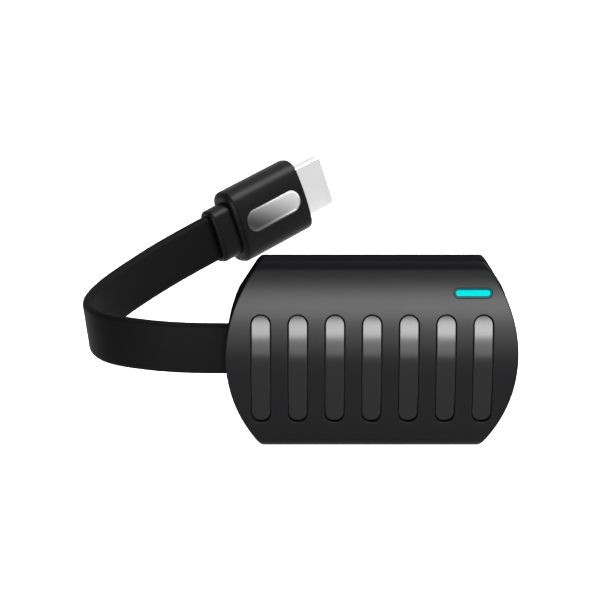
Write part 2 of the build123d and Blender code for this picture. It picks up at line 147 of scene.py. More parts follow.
class StageSettings(bpy.types.PropertyGroup):
    lens: bpy.props.FloatProperty(
        name="Lens", description="Focal length of the camera in millimetres", default=120.3)
    elevation: bpy.props.FloatProperty(
        name="Elevation", description="The camera's angle above the horizon",
        default=radians(15.0), subtype="ANGLE")
    distance: size("Distance", "From the camera to the case along the view", 478.4)
    floor: size("Floor", "Half the side of the floor", 3000.0)
    ambient: bpy.props.FloatProperty(
        name="Ambient", description="Strength of the plain light from all round", default=0.35)


class FinishColours(bpy.types.PropertyGroup):
    case: hex_colour("Case", "Satin moulded case", "#060607")
    bars: hex_colour("Bars", "Dark chrome plate", "#1A1A1A")
    glow: hex_colour("Glow", "The lit window", "#04F0EC")
    cable: hex_colour("Cable", "Cable jacket", "#030303")
    plug: hex_colour("Plug", "Soft overmould", "#030303")
    shell: hex_colour("Shell", "Nickel plate on the plug's shell", "#DADADB")
    # The badge's colour at the dark end of a painted reflection that pales across it
    badge: hex_colour("Badge", "Anodised aluminium badge, at its dark end", "#3F3F40")


def linear(colour):
    """An sRGB hex colour as linear red, green, blue and a full alpha."""
    values = [int(colour[i:i + 2], 16) / 255 for i in (1, 3, 5)]
    return [v / 12.92 if v <= 0.04045 else ((v + 0.055) / 1.055) ** 2.4
            for v in values] + [1.0]


def add(tree, kind, inputs=None, **settings):
    """A node of that kind with its settings. An input is a value or another socket."""
    node = tree.nodes.new(kind)
    for key, value in settings.items():
        setattr(node, key, value)
    for key, value in (inputs or {}).items():
        if isinstance(value, bpy.types.NodeSocket):
            tree.links.new(value, node.inputs[key])
        else:
            node.inputs[key].default_value = value
    return node


def start_material(name, inputs=None):
    """An empty material with a shader linked to its output."""
    material = bpy.data.materials.new(name)
    material.use_nodes = True
    tree = material.node_tree
    tree.nodes.clear()
    shader = add(tree, "ShaderNodeBsdfPrincipled", inputs)
    output = add(tree, "ShaderNodeOutputMaterial")
    tree.links.new(shader.outputs["BSDF"], output.inputs["Surface"])
    return material, tree, shader


def uneven(tree, shader, gloss, height, least, most, relief):
    """Gives a shader uneven gloss from one pattern, and relief from the same or another."""
    rough = add(tree, "ShaderNodeMapRange", {"Value": gloss.outputs["Fac"],
                                             "To Min": least, "To Max": most})
    tree.links.new(rough.outputs["Result"], shader.inputs["Roughness"])
    bump = add(tree, "ShaderNodeBump", {"Height": height.outputs["Fac"], "Strength": 1.0,
                                        "Distance": relief})
    tree.links.new(bump.outputs["Normal"], shader.inputs["Normal"])


def tinted(tree, socket, share, first, last):
    """Lets a shader's colour run from the first to the last with the share."""
    mix = add(tree, "ShaderNodeMix", {"Factor": share, "A": first, "B": last},
              data_type="RGBA")
    tree.links.new(mix.outputs["Result"], socket)


# Real sizes of patterns: flow marks in moulded plastic, patches of haze in the window's
# light, and the pitch of the board's tracks
flow_mark = 9 * MM
haze_patch = 2.5 * MM
track_pitch = 6 * MM


def moulded(name, colour, roughness, specular, grain, relief, mottle=0.06):
    """A moulded polymer: spark-eroded grain of a real size, and slightly uneven gloss."""
    material, tree, shader = start_material(name, {"Specular IOR Level": specular})
    base = linear(colour)
    place = add(tree, "ShaderNodeTexCoord").outputs["Object"]
    cloud = add(tree, "ShaderNodeTexNoise", {"Vector": place, "Scale": 1 / flow_mark,
                                             "Detail": 3.0, "Roughness": 0.6})
    tinted(tree, shader.inputs["Base Color"], cloud.outputs["Fac"],
           [v * (1 - mottle) for v in base[:3]] + [1.0],
           [min(1.0, v * (1 + mottle)) for v in base[:3]] + [1.0])
    pits = add(tree, "ShaderNodeTexNoise", {"Vector": place, "Scale": 1 / grain,
                                            "Detail": 2.0, "Roughness": 0.55})
    uneven(tree, shader, cloud, pits, roughness * (1 - mottle), roughness * (1 + mottle),
           relief)
    return material


def plated(name, colour, roughness, line, stretch, axis, relief, painted_reflection=None):
    """A metal with fine lines along one axis, from rolling or brushing.

    Where the last argument is given, as a colour, a turn and two places along the turned X,
    the finish turns to that colour from the first place to the second: a painted reflection.
    """
    material, tree, shader = start_material(name, {"Metallic": 1.0,
                                                   "Base Color": linear(colour)})
    place = add(tree, "ShaderNodeTexCoord").outputs["Object"]
    along = add(tree, "ShaderNodeMapping", {"Vector": place, "Rotation": axis,
                                            "Scale": (stretch, 1.0, 1.0)},
                vector_type="TEXTURE")
    # Painted reflection: the colour turns to a paler one along a slanted way
    if painted_reflection:
        last_colour, turn, first, last = painted_reflection
        slanted = add(tree, "ShaderNodeMapping", {"Vector": place, "Rotation": turn},
                      vector_type="TEXTURE")
        parts = add(tree, "ShaderNodeSeparateXYZ", {0: slanted.outputs["Vector"]})
        share = add(tree, "ShaderNodeMapRange", {
            "Value": parts.outputs["X"], "From Min": first, "From Max": last},
            interpolation_type="SMOOTHSTEP")
        tinted(tree, shader.inputs["Base Color"], share.outputs["Result"], linear(colour),
               linear(last_colour))
    lines = add(tree, "ShaderNodeTexNoise", {"Vector": along.outputs["Vector"],
                                             "Scale": 1 / line, "Detail": 2.0})
    uneven(tree, shader, lines, lines, roughness * 0.75, roughness * 1.25, relief)
    return material


def lit_acrylic(name, colour, edge):
    """Cyan acrylic lit from behind: a slightly hazy glow, and hardly any gloss over it."""
    material, tree, shader = start_material(name, {
        "Emission Strength": 1.0, "Base Color": (0, 0, 0, 1), "Roughness": 0.3,
        "Specular IOR Level": 0.002})
    place = add(tree, "ShaderNodeTexCoord").outputs["Object"]
    haze = add(tree, "ShaderNodeTexNoise", {"Vector": place, "Scale": 1 / haze_patch})
    tinted(tree, shader.inputs["Emission Color"], haze.outputs["Fac"], linear(colour),
           linear(edge))
    return material


def solder_mask(name):
    """Green lacquer over copper tracks: the tracks show as lighter straight lines."""
    material, tree, shader = start_material(name, {"Roughness": 0.35})
    place = add(tree, "ShaderNodeTexCoord").outputs["Object"]
    tracks = add(tree, "ShaderNodeTexBrick", {
        "Vector": place, "Scale": 1 / track_pitch, "Mortar Size": 0.03,
        "Color1": linear("#0E4A2C"), "Color2": linear("#0C4227"),
        "Mortar": linear("#2B7A4B")})
    tree.links.new(tracks.outputs["Color"], shader.inputs["Base Color"])
    return material


# The badge is painted paler from its lower rear corner to its upper front one, a painted
# reflection: the slope of that way in the badge's plane, and how far from the badge's middle
# its two ends are
reflection_slant = radians(58)
reflection_dark_reach = 5.2 * MM
reflection_pale_reach = 8.0 * MM


def make_finishes():
    """Every finish of the object by name."""
    colours = bpy.context.scene.dongle_colours
    flat = (0.0, 0.0, 0.0)
    plug_turn = plug_pose.to_euler()
    reflection_turn = (plug_pose @ Matrix.Rotation(-reflection_slant, 4, "Y")).to_euler()
    reflection_middle = badge_centre * cos(reflection_slant)
    # The painted reflection that the badge and its cut edge both carry
    painted_reflection = (reflection_turn, reflection_middle - reflection_dark_reach, reflection_middle + reflection_pale_reach)
    return {
        # Spark-eroded ABS: a soft broad highlight that fades to near black
        "satin_abs": moulded("satin_moulded_abs", colours.case, 0.23, 0.050, 0.30 * MM,
                             0.004 * MM),
        # The back is grained coarser than the face, so it stays dark when seen along it
        "grained_abs": moulded("grained_moulded_abs", colours.case, 0.52, 0.045, 0.35 * MM,
                               0.006 * MM),
        # The flats and the end walls are sparked coarsest, and don't shine at all
        "matt_abs": moulded("matt_moulded_abs", "#0C0C0D", 0.7, 0.0, 0.35 * MM,
                            0.008 * MM),
        # Dark chrome plate over polished ABS: almost a mirror, and almost black
        "black_chrome": plated("black_chrome_plate", colours.bars, 0.16, 0.5 * MM, 1.0, flat,
                               0.0005 * MM),
        "window": lit_acrylic("lit_cyan_acrylic", colours.glow, "#00E4E6"),
        "window_rim": moulded("teal_acrylic_edge", "#023238", 0.3, 0.02, 0.4 * MM,
                              0.001 * MM),
        # Soft elastomer over the plug: duller than the case, with a finer grain
        "overmould": moulded("satin_moulded_elastomer", colours.plug, 0.42, 0.06, 0.25 * MM,
                             0.003 * MM),
        # Extruded jacket: a matt skin with faint drag marks
        "jacket": moulded("extruded_vinyl_jacket", colours.cable, 0.62, 0.03, 0.4 * MM,
                          0.004 * MM),
        # Anodised aluminium: satin, brushed along the badge, with a painted reflection across
        # it
        "badge": plated("brushed_anodised_aluminium", colours.badge, 0.20, 0.16 * MM, 14.0,
                        plug_turn, 0.0003 * MM, ("#DDDDDE", *painted_reflection)),
        # The cut edge carries the same painted reflection, dark at one end and pale at the
        # other
        "badge_cut": plated("diamond_cut_aluminium", "#424243", 0.34, 0.4 * MM, 1.0, flat,
                            0.0003 * MM, ("#8B8B8C", *painted_reflection)),
        # Nickel plate on drawn steel: pale and smooth, with faint drawing lines
        "nickel": plated("nickel_plated_steel", colours.shell, 0.14, 0.5 * MM, 12.0,
                         plug_turn, 0.00012 * MM),
        "gold": plated("gold_flashed_bronze", "#D9B25A", 0.22, 0.3 * MM, 6.0, flat,
                       0.0004 * MM),
        "tin": plated("tin_plated_sheet", "#BFC0C2", 0.34, 0.5 * MM, 4.0, flat, 0.001 * MM),
        "zinc": plated("zinc_plated_steel", "#A8A9AD", 0.38, 0.3 * MM, 1.0, flat,
                       0.001 * MM),
        "spreader": plated("stamped_aluminium", "#C9CACC", 0.36, 0.4 * MM, 12.0, flat,
                           0.001 * MM),
        "mask": solder_mask("green_solder_mask"),
        "epoxy": moulded("moulded_chip_epoxy", "#17171A", 0.5, 0.3, 0.2 * MM, 0.004 * MM),
        "insulator": moulded("liquid_crystal_polymer", "#101012", 0.42, 0.25, 0.3 * MM,
                             0.002 * MM),
        "pad": moulded("silicone_gap_pad", "#8C96A0", 0.7, 0.3, 0.5 * MM, 0.01 * MM, 0.12),
        "ferrite": moulded("sintered_ferrite", "#2A2A2D", 0.65, 0.3, 0.3 * MM, 0.01 * MM,
                           0.15),
        "ceramic": moulded("fired_ceramic", "#A07F55", 0.45, 0.5, 0.3 * MM, 0.003 * MM,
                           0.12),
        "white": moulded("white_polyamide", "#DEDED8", 0.4, 0.4, 0.3 * MM, 0.002 * MM),
    }


finishes = {}


def finish_of(name):
    """The finish by name, made once for the whole scene."""
    if not finishes:
        finishes.update(make_finishes())
    return finishes[name]


def new_object(name, data):
    """A new object in the scene with that mesh, lamp, camera or curve."""
    piece = bpy.data.objects.new(name, data)
    bpy.context.scene.collection.objects.link(piece)
    return piece


def evaluated_mesh(host):
    """The plain mesh of an object with its modifiers applied. The object is removed."""
    graph = bpy.context.evaluated_depsgraph_get()
    mesh = bpy.data.meshes.new_from_object(host.evaluated_get(graph))
    bpy.data.objects.remove(host)
    return mesh


def written(work, mesh):
    """The mesh, once the work on it is written into it."""
    work.to_mesh(mesh)
    work.free()
    return mesh


def close_up(mesh, sharp_angle=34.0):
    """Merges doubles, shades smooth and marks the sharp edges."""
    work = bmesh.new()
    work.from_mesh(mesh)
    bmesh.ops.remove_doubles(work, verts=work.verts, dist=weld)
    bmesh.ops.dissolve_degenerate(work, edges=work.edges, dist=speck)
    limit = radians(sharp_angle)
    for face in work.faces:
        face.smooth = True
    for edge in work.edges:
        edge.smooth = len(edge.link_faces) == 2 and edge.calc_face_angle(0.0) < limit
    return written(work, mesh)


def lofted(name, rings, cap_first=True, cap_last=True):
    """A mesh through rings of equal length, with its ends closed by one face each."""
    count = len(rings[0])
    points = [p for ring in rings for p in ring]
    faces = []
    for i in range(len(rings) - 1):
        for j in range(count):
            k = (j + 1) % count
            faces.append((i * count + j, (i + 1) * count + j, (i + 1) * count + k,
                          i * count + k))
    last = (len(rings) - 1) * count
    if cap_first:
        faces.append(tuple(range(count)))
    if cap_last:
        faces.append(tuple(last + j for j in reversed(range(count))))
    mesh = bpy.data.meshes.new(name)
    mesh.from_pydata(points, [], faces)
    work = bmesh.new()
    work.from_mesh(mesh)
    bmesh.ops.remove_doubles(work, verts=work.verts, dist=weld)
    bmesh.ops.recalc_face_normals(work, faces=work.faces)
    return written(work, mesh)


def joined(name, meshes):
    """One mesh from several."""
    work = bmesh.new()
    for mesh in meshes:
        work.from_mesh(mesh)
    return written(work, bpy.data.meshes.new(name))


def carved(name, mesh, cutters):
    """The mesh with the cutters taken away."""
    body = new_object(name, mesh)
    tool = new_object(name + "_tool", joined(name + "_tool", cutters))
    cut = body.modifiers.new("cut", "BOOLEAN")
    cut.operation = "DIFFERENCE"
    cut.solver = "EXACT"
    cut.use_self = True
    cut.object = tool
    result = evaluated_mesh(body)
    bpy.data.objects.remove(tool)
    return result


def finished(name, mesh, body, finish_names, nodes):
    """Turns a mesh into a finished piece that rides a body and stands for some nodes."""
    piece = new_object(name, close_up(mesh))
    piece.data.materials.clear()
    for finish_name in finish_names:
        piece.data.materials.append(finish_of(finish_name))
    if nodes:
        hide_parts(*nodes)
    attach(piece, body)
    return piece


def pill(length, width, side_step=0.8 * MM, arc_steps=14):
    """A pill's outline as (a, b, normal a, normal b), long along a."""
    reach = (length - width) / 2
    radius = width / 2
    sides = max(1, round(2 * reach / side_step))
    outline = []
    for end in (1, -1):
        for i in range(arc_steps + 1):
            turn = pi * i / arc_steps - pi / 2
            na = end * cos(turn)
            nb = end * sin(turn)
            outline.append((end * reach + na * radius, nb * radius, na, nb))
        for i in range(1, sides):
            outline.append((end * (reach - 2 * reach * i / sides), end * radius, 0.0, end))
    return outline


def from_spine(a, b, length, width):
    """How far a place is from the middle line of a pill."""
    over = max(abs(a) - (length - width) / 2, 0.0)
    return sqrt(over ** 2 + b ** 2)


def filleted(corners, radii, steps=6):
    """A polygon's outline with rounded corners, counter-clockwise."""
    outline = []
    count = len(corners)
    for i in range(count):
        corner = Vector(corners[i])
        back = (Vector(corners[i - 1]) - corner).normalized()
        ahead = (Vector(corners[(i + 1) % count]) - corner).normalized()
        half = back.angle(ahead) / 2
        centre = corner + (back + ahead).normalized() * (radii[i] / sin(half))
        first = Vector((-back.y, back.x))
        last = Vector((ahead.y, -ahead.x))
        sweep = first.angle_signed(last)
        for k in range(steps + 1):
            turned = first.copy()
            turned.rotate(Matrix.Rotation(-sweep * k / steps, 2))
            p = centre + turned * radii[i]
            outline.append((p.x, p.y, turned.x, turned.y))
    return outline


def crowned(width, thick, crown, corner, crown_steps=14, corner_steps=12):
    """A rounded section, wide along b, whose two wide faces bulge along a."""
    half = width / 2
    bulge = (half * half + crown * crown) / (2 * crown)
    middle = thick / 2 - bulge
    corner_b = half - corner
    corner_a = middle + sqrt((bulge - corner) ** 2 - corner_b ** 2)
    meet = asin(corner_b / (bulge - corner))
    quarter = []
    for i in range(crown_steps + 1):
        turn = meet * i / crown_steps
        quarter.append((middle + bulge * cos(turn), bulge * sin(turn), turn))
    for i in range(1, corner_steps + 1):
        turn = meet + (pi / 2 - meet) * i / corner_steps
        quarter.append((corner_a + corner * cos(turn), corner_b + corner * sin(turn), turn))
    outline = [(a, b, cos(t), sin(t)) for a, b, t in quarter]
    outline += [(-a, b, -cos(t), sin(t)) for a, b, t in reversed(quarter)]
    outline += [(-a, -b, -cos(t), -sin(t)) for a, b, t in quarter[1:]]
    outline += [(a, -b, cos(t), -sin(t)) for a, b, t in reversed(quarter[1:])]
    return outline


def rings_of(outline, profile, place):
    """Rings from an outline grown by each profile step, at that depth."""
    return [[place(a + na * grow, b + nb * grow, depth) for a, b, na, nb in outline]
            for grow, depth in profile]


def rounded_edge(radius, steps=5):
    """A piece's rounded edge, from its side up to its top face, as (grow, depth)."""
    turns = [pi / 2 * i / steps for i in range(steps + 1)]
    return [(radius * (cos(t) - 1), radius * (1 - sin(t))) for t in turns]


# A cutter's rounded rim stops short of the surface's own direction, so that it cuts it
# cleanly, and the cutter then reaches well past the surface
flare_stop = radians(76)
cutter_past = 3 * MM


def flared_edge(radius, steps=5):
    """The rounded edge of a hole, for a cutter, from the hole's side to well outside."""
    turns = [flare_stop * i / steps for i in range(steps + 1)]
    profile = [(radius * (1 - cos(t)), radius * (1 - sin(t))) for t in turns]
    return profile + [(profile[-1][0], -cutter_past)]


def plan_reach(z, inset):
    """Half the case's length at a height, and the outline's normal there on X and Z."""
    radius = case_half_length - inset
    corner = max(plan_corner_radius - inset, inner_edge)
    half = case_half_height - inset
    corner_z = half - corner
    corner_x = sqrt((radius - corner) ** 2 - corner_z ** 2)
    meet_z = radius * corner_z / (radius - corner)
    level = min(abs(z), half)
    side = 1 if z >= 0 else -1
    if level <= meet_z:
        x = sqrt(radius * radius - level * level)
        return x, x / radius, side * level / radius
    up = level - corner_z
    x = corner_x + sqrt(max(corner * corner - up * up, 0.0))
    return x, (x - corner_x) / corner, side * up / corner


def crown_radius():
    """The radius to which the face is crowned from its top to its bottom."""
    return (case_half_height ** 2 + front_crown ** 2) / (2 * front_crown)


def front_surface(z, inset=0.0):
    """Y of the crowned face at a height, with the face moved inwards."""
    radius = crown_radius()
    return case_front + radius - sqrt((radius - inset) ** 2 - z * z)


# Rows of faces round the covers' rounded edges: along the face, along the back, round the
# back's shallow bend and at the end walls
edge_rows = 16
back_edge_rows = 12
back_bend_rows = 6
end_edge_rows = 4
back_bend_radius = 6 * MM


def front_rows(inset, rows):
    """The front cover's section from top to bottom: y, z and normal on Y and Z."""
    radius = crown_radius()
    edge = front_edge_radius
    centre_z = case_half_height - edge
    meet = asin(centre_z / (radius - edge))
    centre_y = case_front + radius - sqrt((radius - edge) ** 2 - centre_z ** 2)
    bend = [(pi / 2 - meet) * i / edge_rows for i in range(edge_rows + 1)]
    turns = [pi / 2 - turn for turn in bend[:-1]]
    turns += [meet - 2 * meet * i / rows for i in range(rows + 1)]
    turns += [-meet - turn for turn in bend[1:]]
    section = []
    for turn in turns:
        if abs(turn) <= meet:
            y = case_front + radius - (radius - inset) * cos(turn)
            z = (radius - inset) * sin(turn)
        else:
            side = 1 if turn > 0 else -1
            y = centre_y - (edge - inset) * cos(turn)
            z = side * centre_z + (edge - inset) * sin(turn)
        section.append((y, z, -cos(turn), sin(turn)))
    return section


def back_rows(inset, rows):
    """The back cover's section from top to bottom: y, z and normal on Y and Z."""
    edge = back_edge_radius
    slope = atan2(back_drop, case_half_height - back_flat)
    blend = back_bend_radius
    reach = case_half_height - edge - back_flat
    centre_y = case_back - (edge + reach * sin(slope)) / cos(slope)
    centre_z = case_half_height - edge
    blend_z = back_flat - blend * tan(slope / 2)
    half = []
    for i in range(back_edge_rows + 1):
        turn = pi / 2 - (pi / 2 - slope) * i / back_edge_rows
        half.append((centre_y + (edge - inset) * cos(turn),
                     centre_z + (edge - inset) * sin(turn), cos(turn), sin(turn)))
    for i in range(back_bend_rows + 1):
        turn = slope * (1 - i / back_bend_rows)
        half.append((case_back - blend + (blend - inset) * cos(turn),
                     blend_z + (blend - inset) * sin(turn), cos(turn), sin(turn)))
    lower = [(y, -z, ny, -nz) for y, z, ny, nz in reversed(half)]
    flat = [(case_back - inset, blend_z * (1 - 2 * i / rows), 1.0, 0.0)
            for i in range(1, rows)]
    return half + flat + lower


def border(rows):
    """What lies along a grid's border, once round."""
    return (list(rows[0]) + [row[-1] for row in rows[1:]] + list(reversed(rows[-1]))[1:]
            + [row[0] for row in reversed(rows[1:-1])])


def skin(section, inset, edge, levels, columns):
    """One cover's skin as a face grid and the skirt rings that go from it to the joint."""
    grid = []
    for y, z, ny, nz in section:
        reach, px, pz = plan_reach(z, inset)
        face = Vector((0, ny, nz))
        wall = Vector((px, 0, pz))
        lean = max(-0.999, min(1.0, face.dot(wall)))
        corner = Vector((reach, y, z))
        centre = corner - (face + wall) * (edge / (1 + lean))
        arc = []
        for i in range(end_edge_rows + 1):
            share = i / end_edge_rows
            turned = face.slerp(wall, share, face) if lean < 0.9999 else face
            arc.append(centre + turned * edge)
        inner = arc[0].x
        row = [Vector((-p.x, p.y, p.z)) for p in reversed(arc)]
        for i in range(1, columns):
            row.append(Vector((inner * (2 * i / columns - 1), arc[0].y, arc[0].z)))
        row += arc
        grid.append(row)
    loop = border(grid)
    skirt = []
    for level, offset, shrink in levels:
        ring = []
        for p in loop:
            reach, px, pz = plan_reach(p.z, inset)
            flat = abs(p.z) > case_half_height - inset - 1e-9
            side = 1 if p.x > 0 else -1
            normal = Vector((0, 0, pz)) if flat else Vector((side * px, 0, pz))
            stop = split_y + (offset if p.y > split_y else -offset)
            y = p.y + (stop - p.y) * level
            ring.append(Vector((p.x, y, p.z)) - normal * shrink)
        skirt.append(ring)
    return grid, skirt


def cover_mesh(name, rows_of, sizes):
    """A closed cover: outer skin, the joint's bevel, and the inner skin a wall inside."""
    work = bmesh.new()
    skins = []
    skirt_rows = 8
    for inset, edge, shrink in ((0.0, sizes.edge, sizes.joint), (case_wall, inner_edge, 0.0)):
        levels = [(k / skirt_rows, shrink, 0.0) for k in range(1, skirt_rows + 1)]
        levels.append((1.0, 0.0, shrink))
        grid, skirt = skin(rows_of(inset, sizes.rows), inset, edge, levels, sizes.columns)
        verts = [[work.verts.new(p + case_centre) for p in row] for row in grid]
        for i in range(len(verts) - 1):
            for j in range(len(verts[0]) - 1):
                work.faces.new((verts[i][j], verts[i][j + 1], verts[i + 1][j + 1],
                                verts[i + 1][j]))
        ring = border(verts)
        for points in skirt:
            lower = [work.verts.new(p + case_centre) for p in points]
            for j in range(len(ring)):
                k = (j + 1) % len(ring)
                work.faces.new((ring[j], lower[j], lower[k], ring[k]))
            ring = lower
        skins.append(ring)
    outer, inner = skins
    for j in range(len(outer)):
        k = (j + 1) % len(outer)
        work.faces.new((outer[j], inner[j], inner[k], outer[k]))
    bmesh.ops.remove_doubles(work, verts=work.verts, dist=weld)
    bmesh.ops.dissolve_degenerate(work, edges=work.edges, dist=speck)
    bmesh.ops.recalc_face_normals(work, faces=work.faces)
    return written(work, bpy.data.meshes.new(name))


def on_face(x, z, depth):
    """A place on the case's crowned face, some depth under it."""
    return case_centre + Vector((x, front_surface(z) + depth, z))


def on_end_wall(y, z, depth):
    """A place on the case's right end wall, some depth under it."""
    return case_centre + Vector((plan_reach(z, 0.0)[0] - depth, y, z))


def on_left_wall(y, z, depth):
    """A place on the case's left end wall, some depth under it."""
    return case_centre + Vector((depth - plan_reach(z, 0.0)[0], y, z))


def flat_left(y, z, depth):
    """A place some depth in from the left end of the case's middle line."""
    return case_centre + Vector((depth - case_half_length, y, z))


def at_x(y, z, depth):
    """A place in the case's frame whose depth is the distance along the case."""
    return case_centre + Vector((depth, y, z))


def in_plug(x, y, z):
    """A place in the plug's own frame."""
    return plug_pose @ Vector((x, y, z))


def moved(outline, a, b):
    """The outline moved in its two directions."""
    return [(p + a, q + b, na, nb) for p, q, na, nb in outline]


def swapped(outline):
    """The outline with its two directions exchanged."""
    return [(q, p, nb, na) for p, q, na, nb in outline]


def spine_steps(width, depth, steps=6):
    """Profile steps from a pill's edge in to its middle line, at one depth."""
    return [(-width / 2 * i / steps, depth) for i in range(1, steps + 1)]


# Places of what the covers leave room for, on the case's own middle
lens_inset = 11.0 * MM
lens_z = 15.55 * MM
lens_length = 9.0 * MM
lens_height = 2.3 * MM
lens_gap = 0.05 * MM
lens_rim = 0.12 * MM
lens_skin = 0.5 * MM
lens_blunt = 0.1 * MM
lens_flange = 0.8 * MM
lens_depth = 3.4 * MM
lens_front = 0.4 * MM
button_y = -0.9 * MM
button_z = 9.6 * MM
button_length = 5.0 * MM
button_height = 2.2 * MM
button_gap = 0.15 * MM
button_rim = 0.6 * MM
button_rim_thick = 0.6 * MM
button_edge = 0.2 * MM
button_back = 29.82 * MM
board_front = 1.1 * MM
socket_width = 7.5 * MM
socket_depth = 2.6 * MM
socket_length = 5.6 * MM
socket_bevel = 0.9 * MM
socket_sheet = 0.25 * MM
socket_lip = 0.08 * MM
socket_corner = 0.35 * MM
socket_recess = 0.7 * MM
socket_gap = 0.25 * MM
cable_z = 0.6 * MM
cable_recess = 0.8 * MM
gland_nose = 0.6 * MM
gland_gap = 0.1 * MM
gland_skin = 0.02 * MM
gland_body = 1.1 * MM
gland_edge = 0.3 * MM
gland_step = 2.7 * MM
gland_end = 6.2 * MM
through_wall = 3.2 * MM
flat_band = 0.6 * MM


def lens_outline():
    """The window's pill on the case's X and Z."""
    return moved(pill(lens_length, lens_height), case_half_length - lens_inset, lens_z)


def button_outline():
    """The mode button's upright pill on the case's Y and Z."""
    return moved(swapped(pill(button_length, button_height)), button_y, button_z)


def nose_outline(sizes):
    """The cable gland's nose in the left end wall, on the case's Y and Z."""
    length = sizes.width + 2 * gland_nose
    height = sizes.thick + 2 * gland_nose
    return moved(swapped(pill(length, height)), 0.0, cable_z)


def socket_outline(steps=5):
    """The power socket's outline on Y and Z: the corners away from the board are bevelled."""
    low = board_front - socket_depth
    bevelled = low + socket_bevel
    half = socket_width / 2
    short = half - socket_bevel
    corners = [(board_front, -half), (board_front, half), (bevelled, half), (low, short),
               (low, -short), (bevelled, -half)]
    return filleted(corners, [socket_corner] * 6, steps)


def hole_cutter(outline, gap, rim, place, depth):
    """A cutter for a through hole with a rounded rim."""
    profile = [(gap, depth)] + [(gap + g, d) for g, d in flared_edge(rim)]
    return lofted("hole", rings_of(outline, profile, place))


def bar_centres(bars):
    """Each bar's place along the case."""
    pitch = bars.spread / (bars.count - 1)
    return [i * pitch - bars.spread / 2 for i in range(bars.count)]


def pocket_cutter(outline, width, gap, floor, rim, place):
    """A cutter for a pill's pocket: its floor follows the face, and its rim is rounded."""
    profile = [(g, floor) for g, _ in reversed(spine_steps(width, floor))]
    profile += [(gap, floor)] + [(gap + g, d) for g, d in flared_edge(rim)]
    return lofted("pocket", rings_of(outline, profile, place), cap_first=False)


def bar_pocket(bars, rim, x):
    """A cutter for one bar's pocket in the crowned face."""
    outline = moved(swapped(pill(bars.length, bars.width)), x, bars.centre_z)
    return pocket_cutter(outline, bars.width, bars.gap, bars.recess + bars.thick, rim, on_face)


def smooth_normals(mesh):
    """Gives the crowned face and the round end walls the exact normals of their form."""
    radius = crown_radius()
    near = 0.002 * MM
    normals = [Vector((0, 0, 0))] * len(mesh.loops)
    for face in mesh.polygons:
        points = [mesh.vertices[mesh.loops[i].vertex_index].co - case_centre
                  for i in face.loop_indices]
        if all(abs(p.y - front_surface(p.z)) < near for p in points) and face.normal.y < 0:
            for i, p in zip(face.loop_indices, points):
                normals[i] = Vector((0, -sqrt(radius ** 2 - p.z ** 2), p.z)) / radius
        elif all(abs(sqrt(p.x ** 2 + p.z ** 2) - case_half_length) < near for p in points):
            for i, p in zip(face.loop_indices, points):
                normals[i] = Vector((p.x, 0, p.z)) / case_half_length
    mesh.normals_split_custom_set(normals)


class DONGLE_OT_covers(bpy.types.Operator):
    """The front and back covers, with every pocket and opening"""
    bl_idname = "dongle.covers"
    bl_label = "Covers"

    def execute(self, context):
        sizes = context.scene.dongle_case
        bars = context.scene.dongle_bars
        cable = context.scene.dongle_cable
        nose = hole_cutter(nose_outline(cable), gland_gap, sizes.rim, on_left_wall,
                           through_wall)
        socket = hole_cutter(socket_outline(), socket_gap, sizes.rim, on_end_wall,
                             through_wall)
        button = hole_cutter(button_outline(), button_gap, sizes.rim, on_end_wall,
                             through_wall)
        lens = hole_cutter(lens_outline(), lens_gap, lens_rim, on_face, through_wall)
        pockets = [bar_pocket(bars, sizes.rim, x) for x in bar_centres(bars)]
        front = cover_mesh("front", front_rows, sizes)
        back = cover_mesh("back", back_rows, sizes)
        front = carved("front_cover_cut", front, [nose, socket, button, lens] + pockets)
        back = carved("back_cover_cut", back, [nose, socket, button])
        for name, mesh, node, finish in (
                ("front_cover_shell", front, "front_cover", "satin_abs"),
                ("back_cover_shell", back, "back_cover", "grained_abs")):
            cover = finished(name, mesh, "case", [finish, "matt_abs"],
                             [node])
            for face in cover.data.polygons:
                # Matt where it is near a flat and turned away from the face and the back,
                # and where it is turned to the sides
                level = abs(face.center.z - case_centre.z)
                on_flat = level > case_half_height - flat_band and abs(face.normal.y) < 0.6
                on_end = abs(face.normal.x) > 0.7 or abs(face.normal.z) > 0.8
                face.material_index = 1 if on_flat or on_end else 0
            smooth_normals(cover.data)
        return {"FINISHED"}


def start_geometry(name, sizes):
    """A geometry tree with one named length or count for each size, and its input node."""
    tree = bpy.data.node_groups.new(name, "GeometryNodeTree")
    sockets = tree.interface
    sockets.new_socket("Geometry", in_out="INPUT", socket_type="NodeSocketGeometry")
    for label, value in sizes.items():
        kind = "NodeSocketInt" if isinstance(value, int) else "NodeSocketFloat"
        sockets.new_socket(label, in_out="INPUT", socket_type=kind).default_value = value
    sockets.new_socket("Material", in_out="INPUT", socket_type="NodeSocketMaterial")
    sockets.new_socket("Geometry", in_out="OUTPUT", socket_type="NodeSocketGeometry")
    return tree, add(tree, "NodeGroupInput")


def end_geometry(tree, given, geometry):
    """Ends a tree in real meshes with their material."""
    real = add(tree, "GeometryNodeRealizeInstances", {"Geometry": geometry})
    dressed = add(tree, "GeometryNodeSetMaterial", {
        "Geometry": real.outputs["Geometry"], "Material": given.outputs["Material"]})
    output = add(tree, "NodeGroupOutput")
    tree.links.new(dressed.outputs["Geometry"], output.inputs["Geometry"])


def grown(name, tree, finish_name):
    """The plain mesh that a tree makes from its own default sizes."""
    host = new_object(name + "_host", bpy.data.meshes.new(name + "_host"))
    nodes = host.modifiers.new("nodes", "NODES")
    nodes.node_group = tree
    for item in tree.interface.items_tree:
        if item.item_type == "SOCKET" and item.socket_type == "NodeSocketMaterial":
            nodes[item.identifier] = finish_of(finish_name)
    return evaluated_mesh(host)


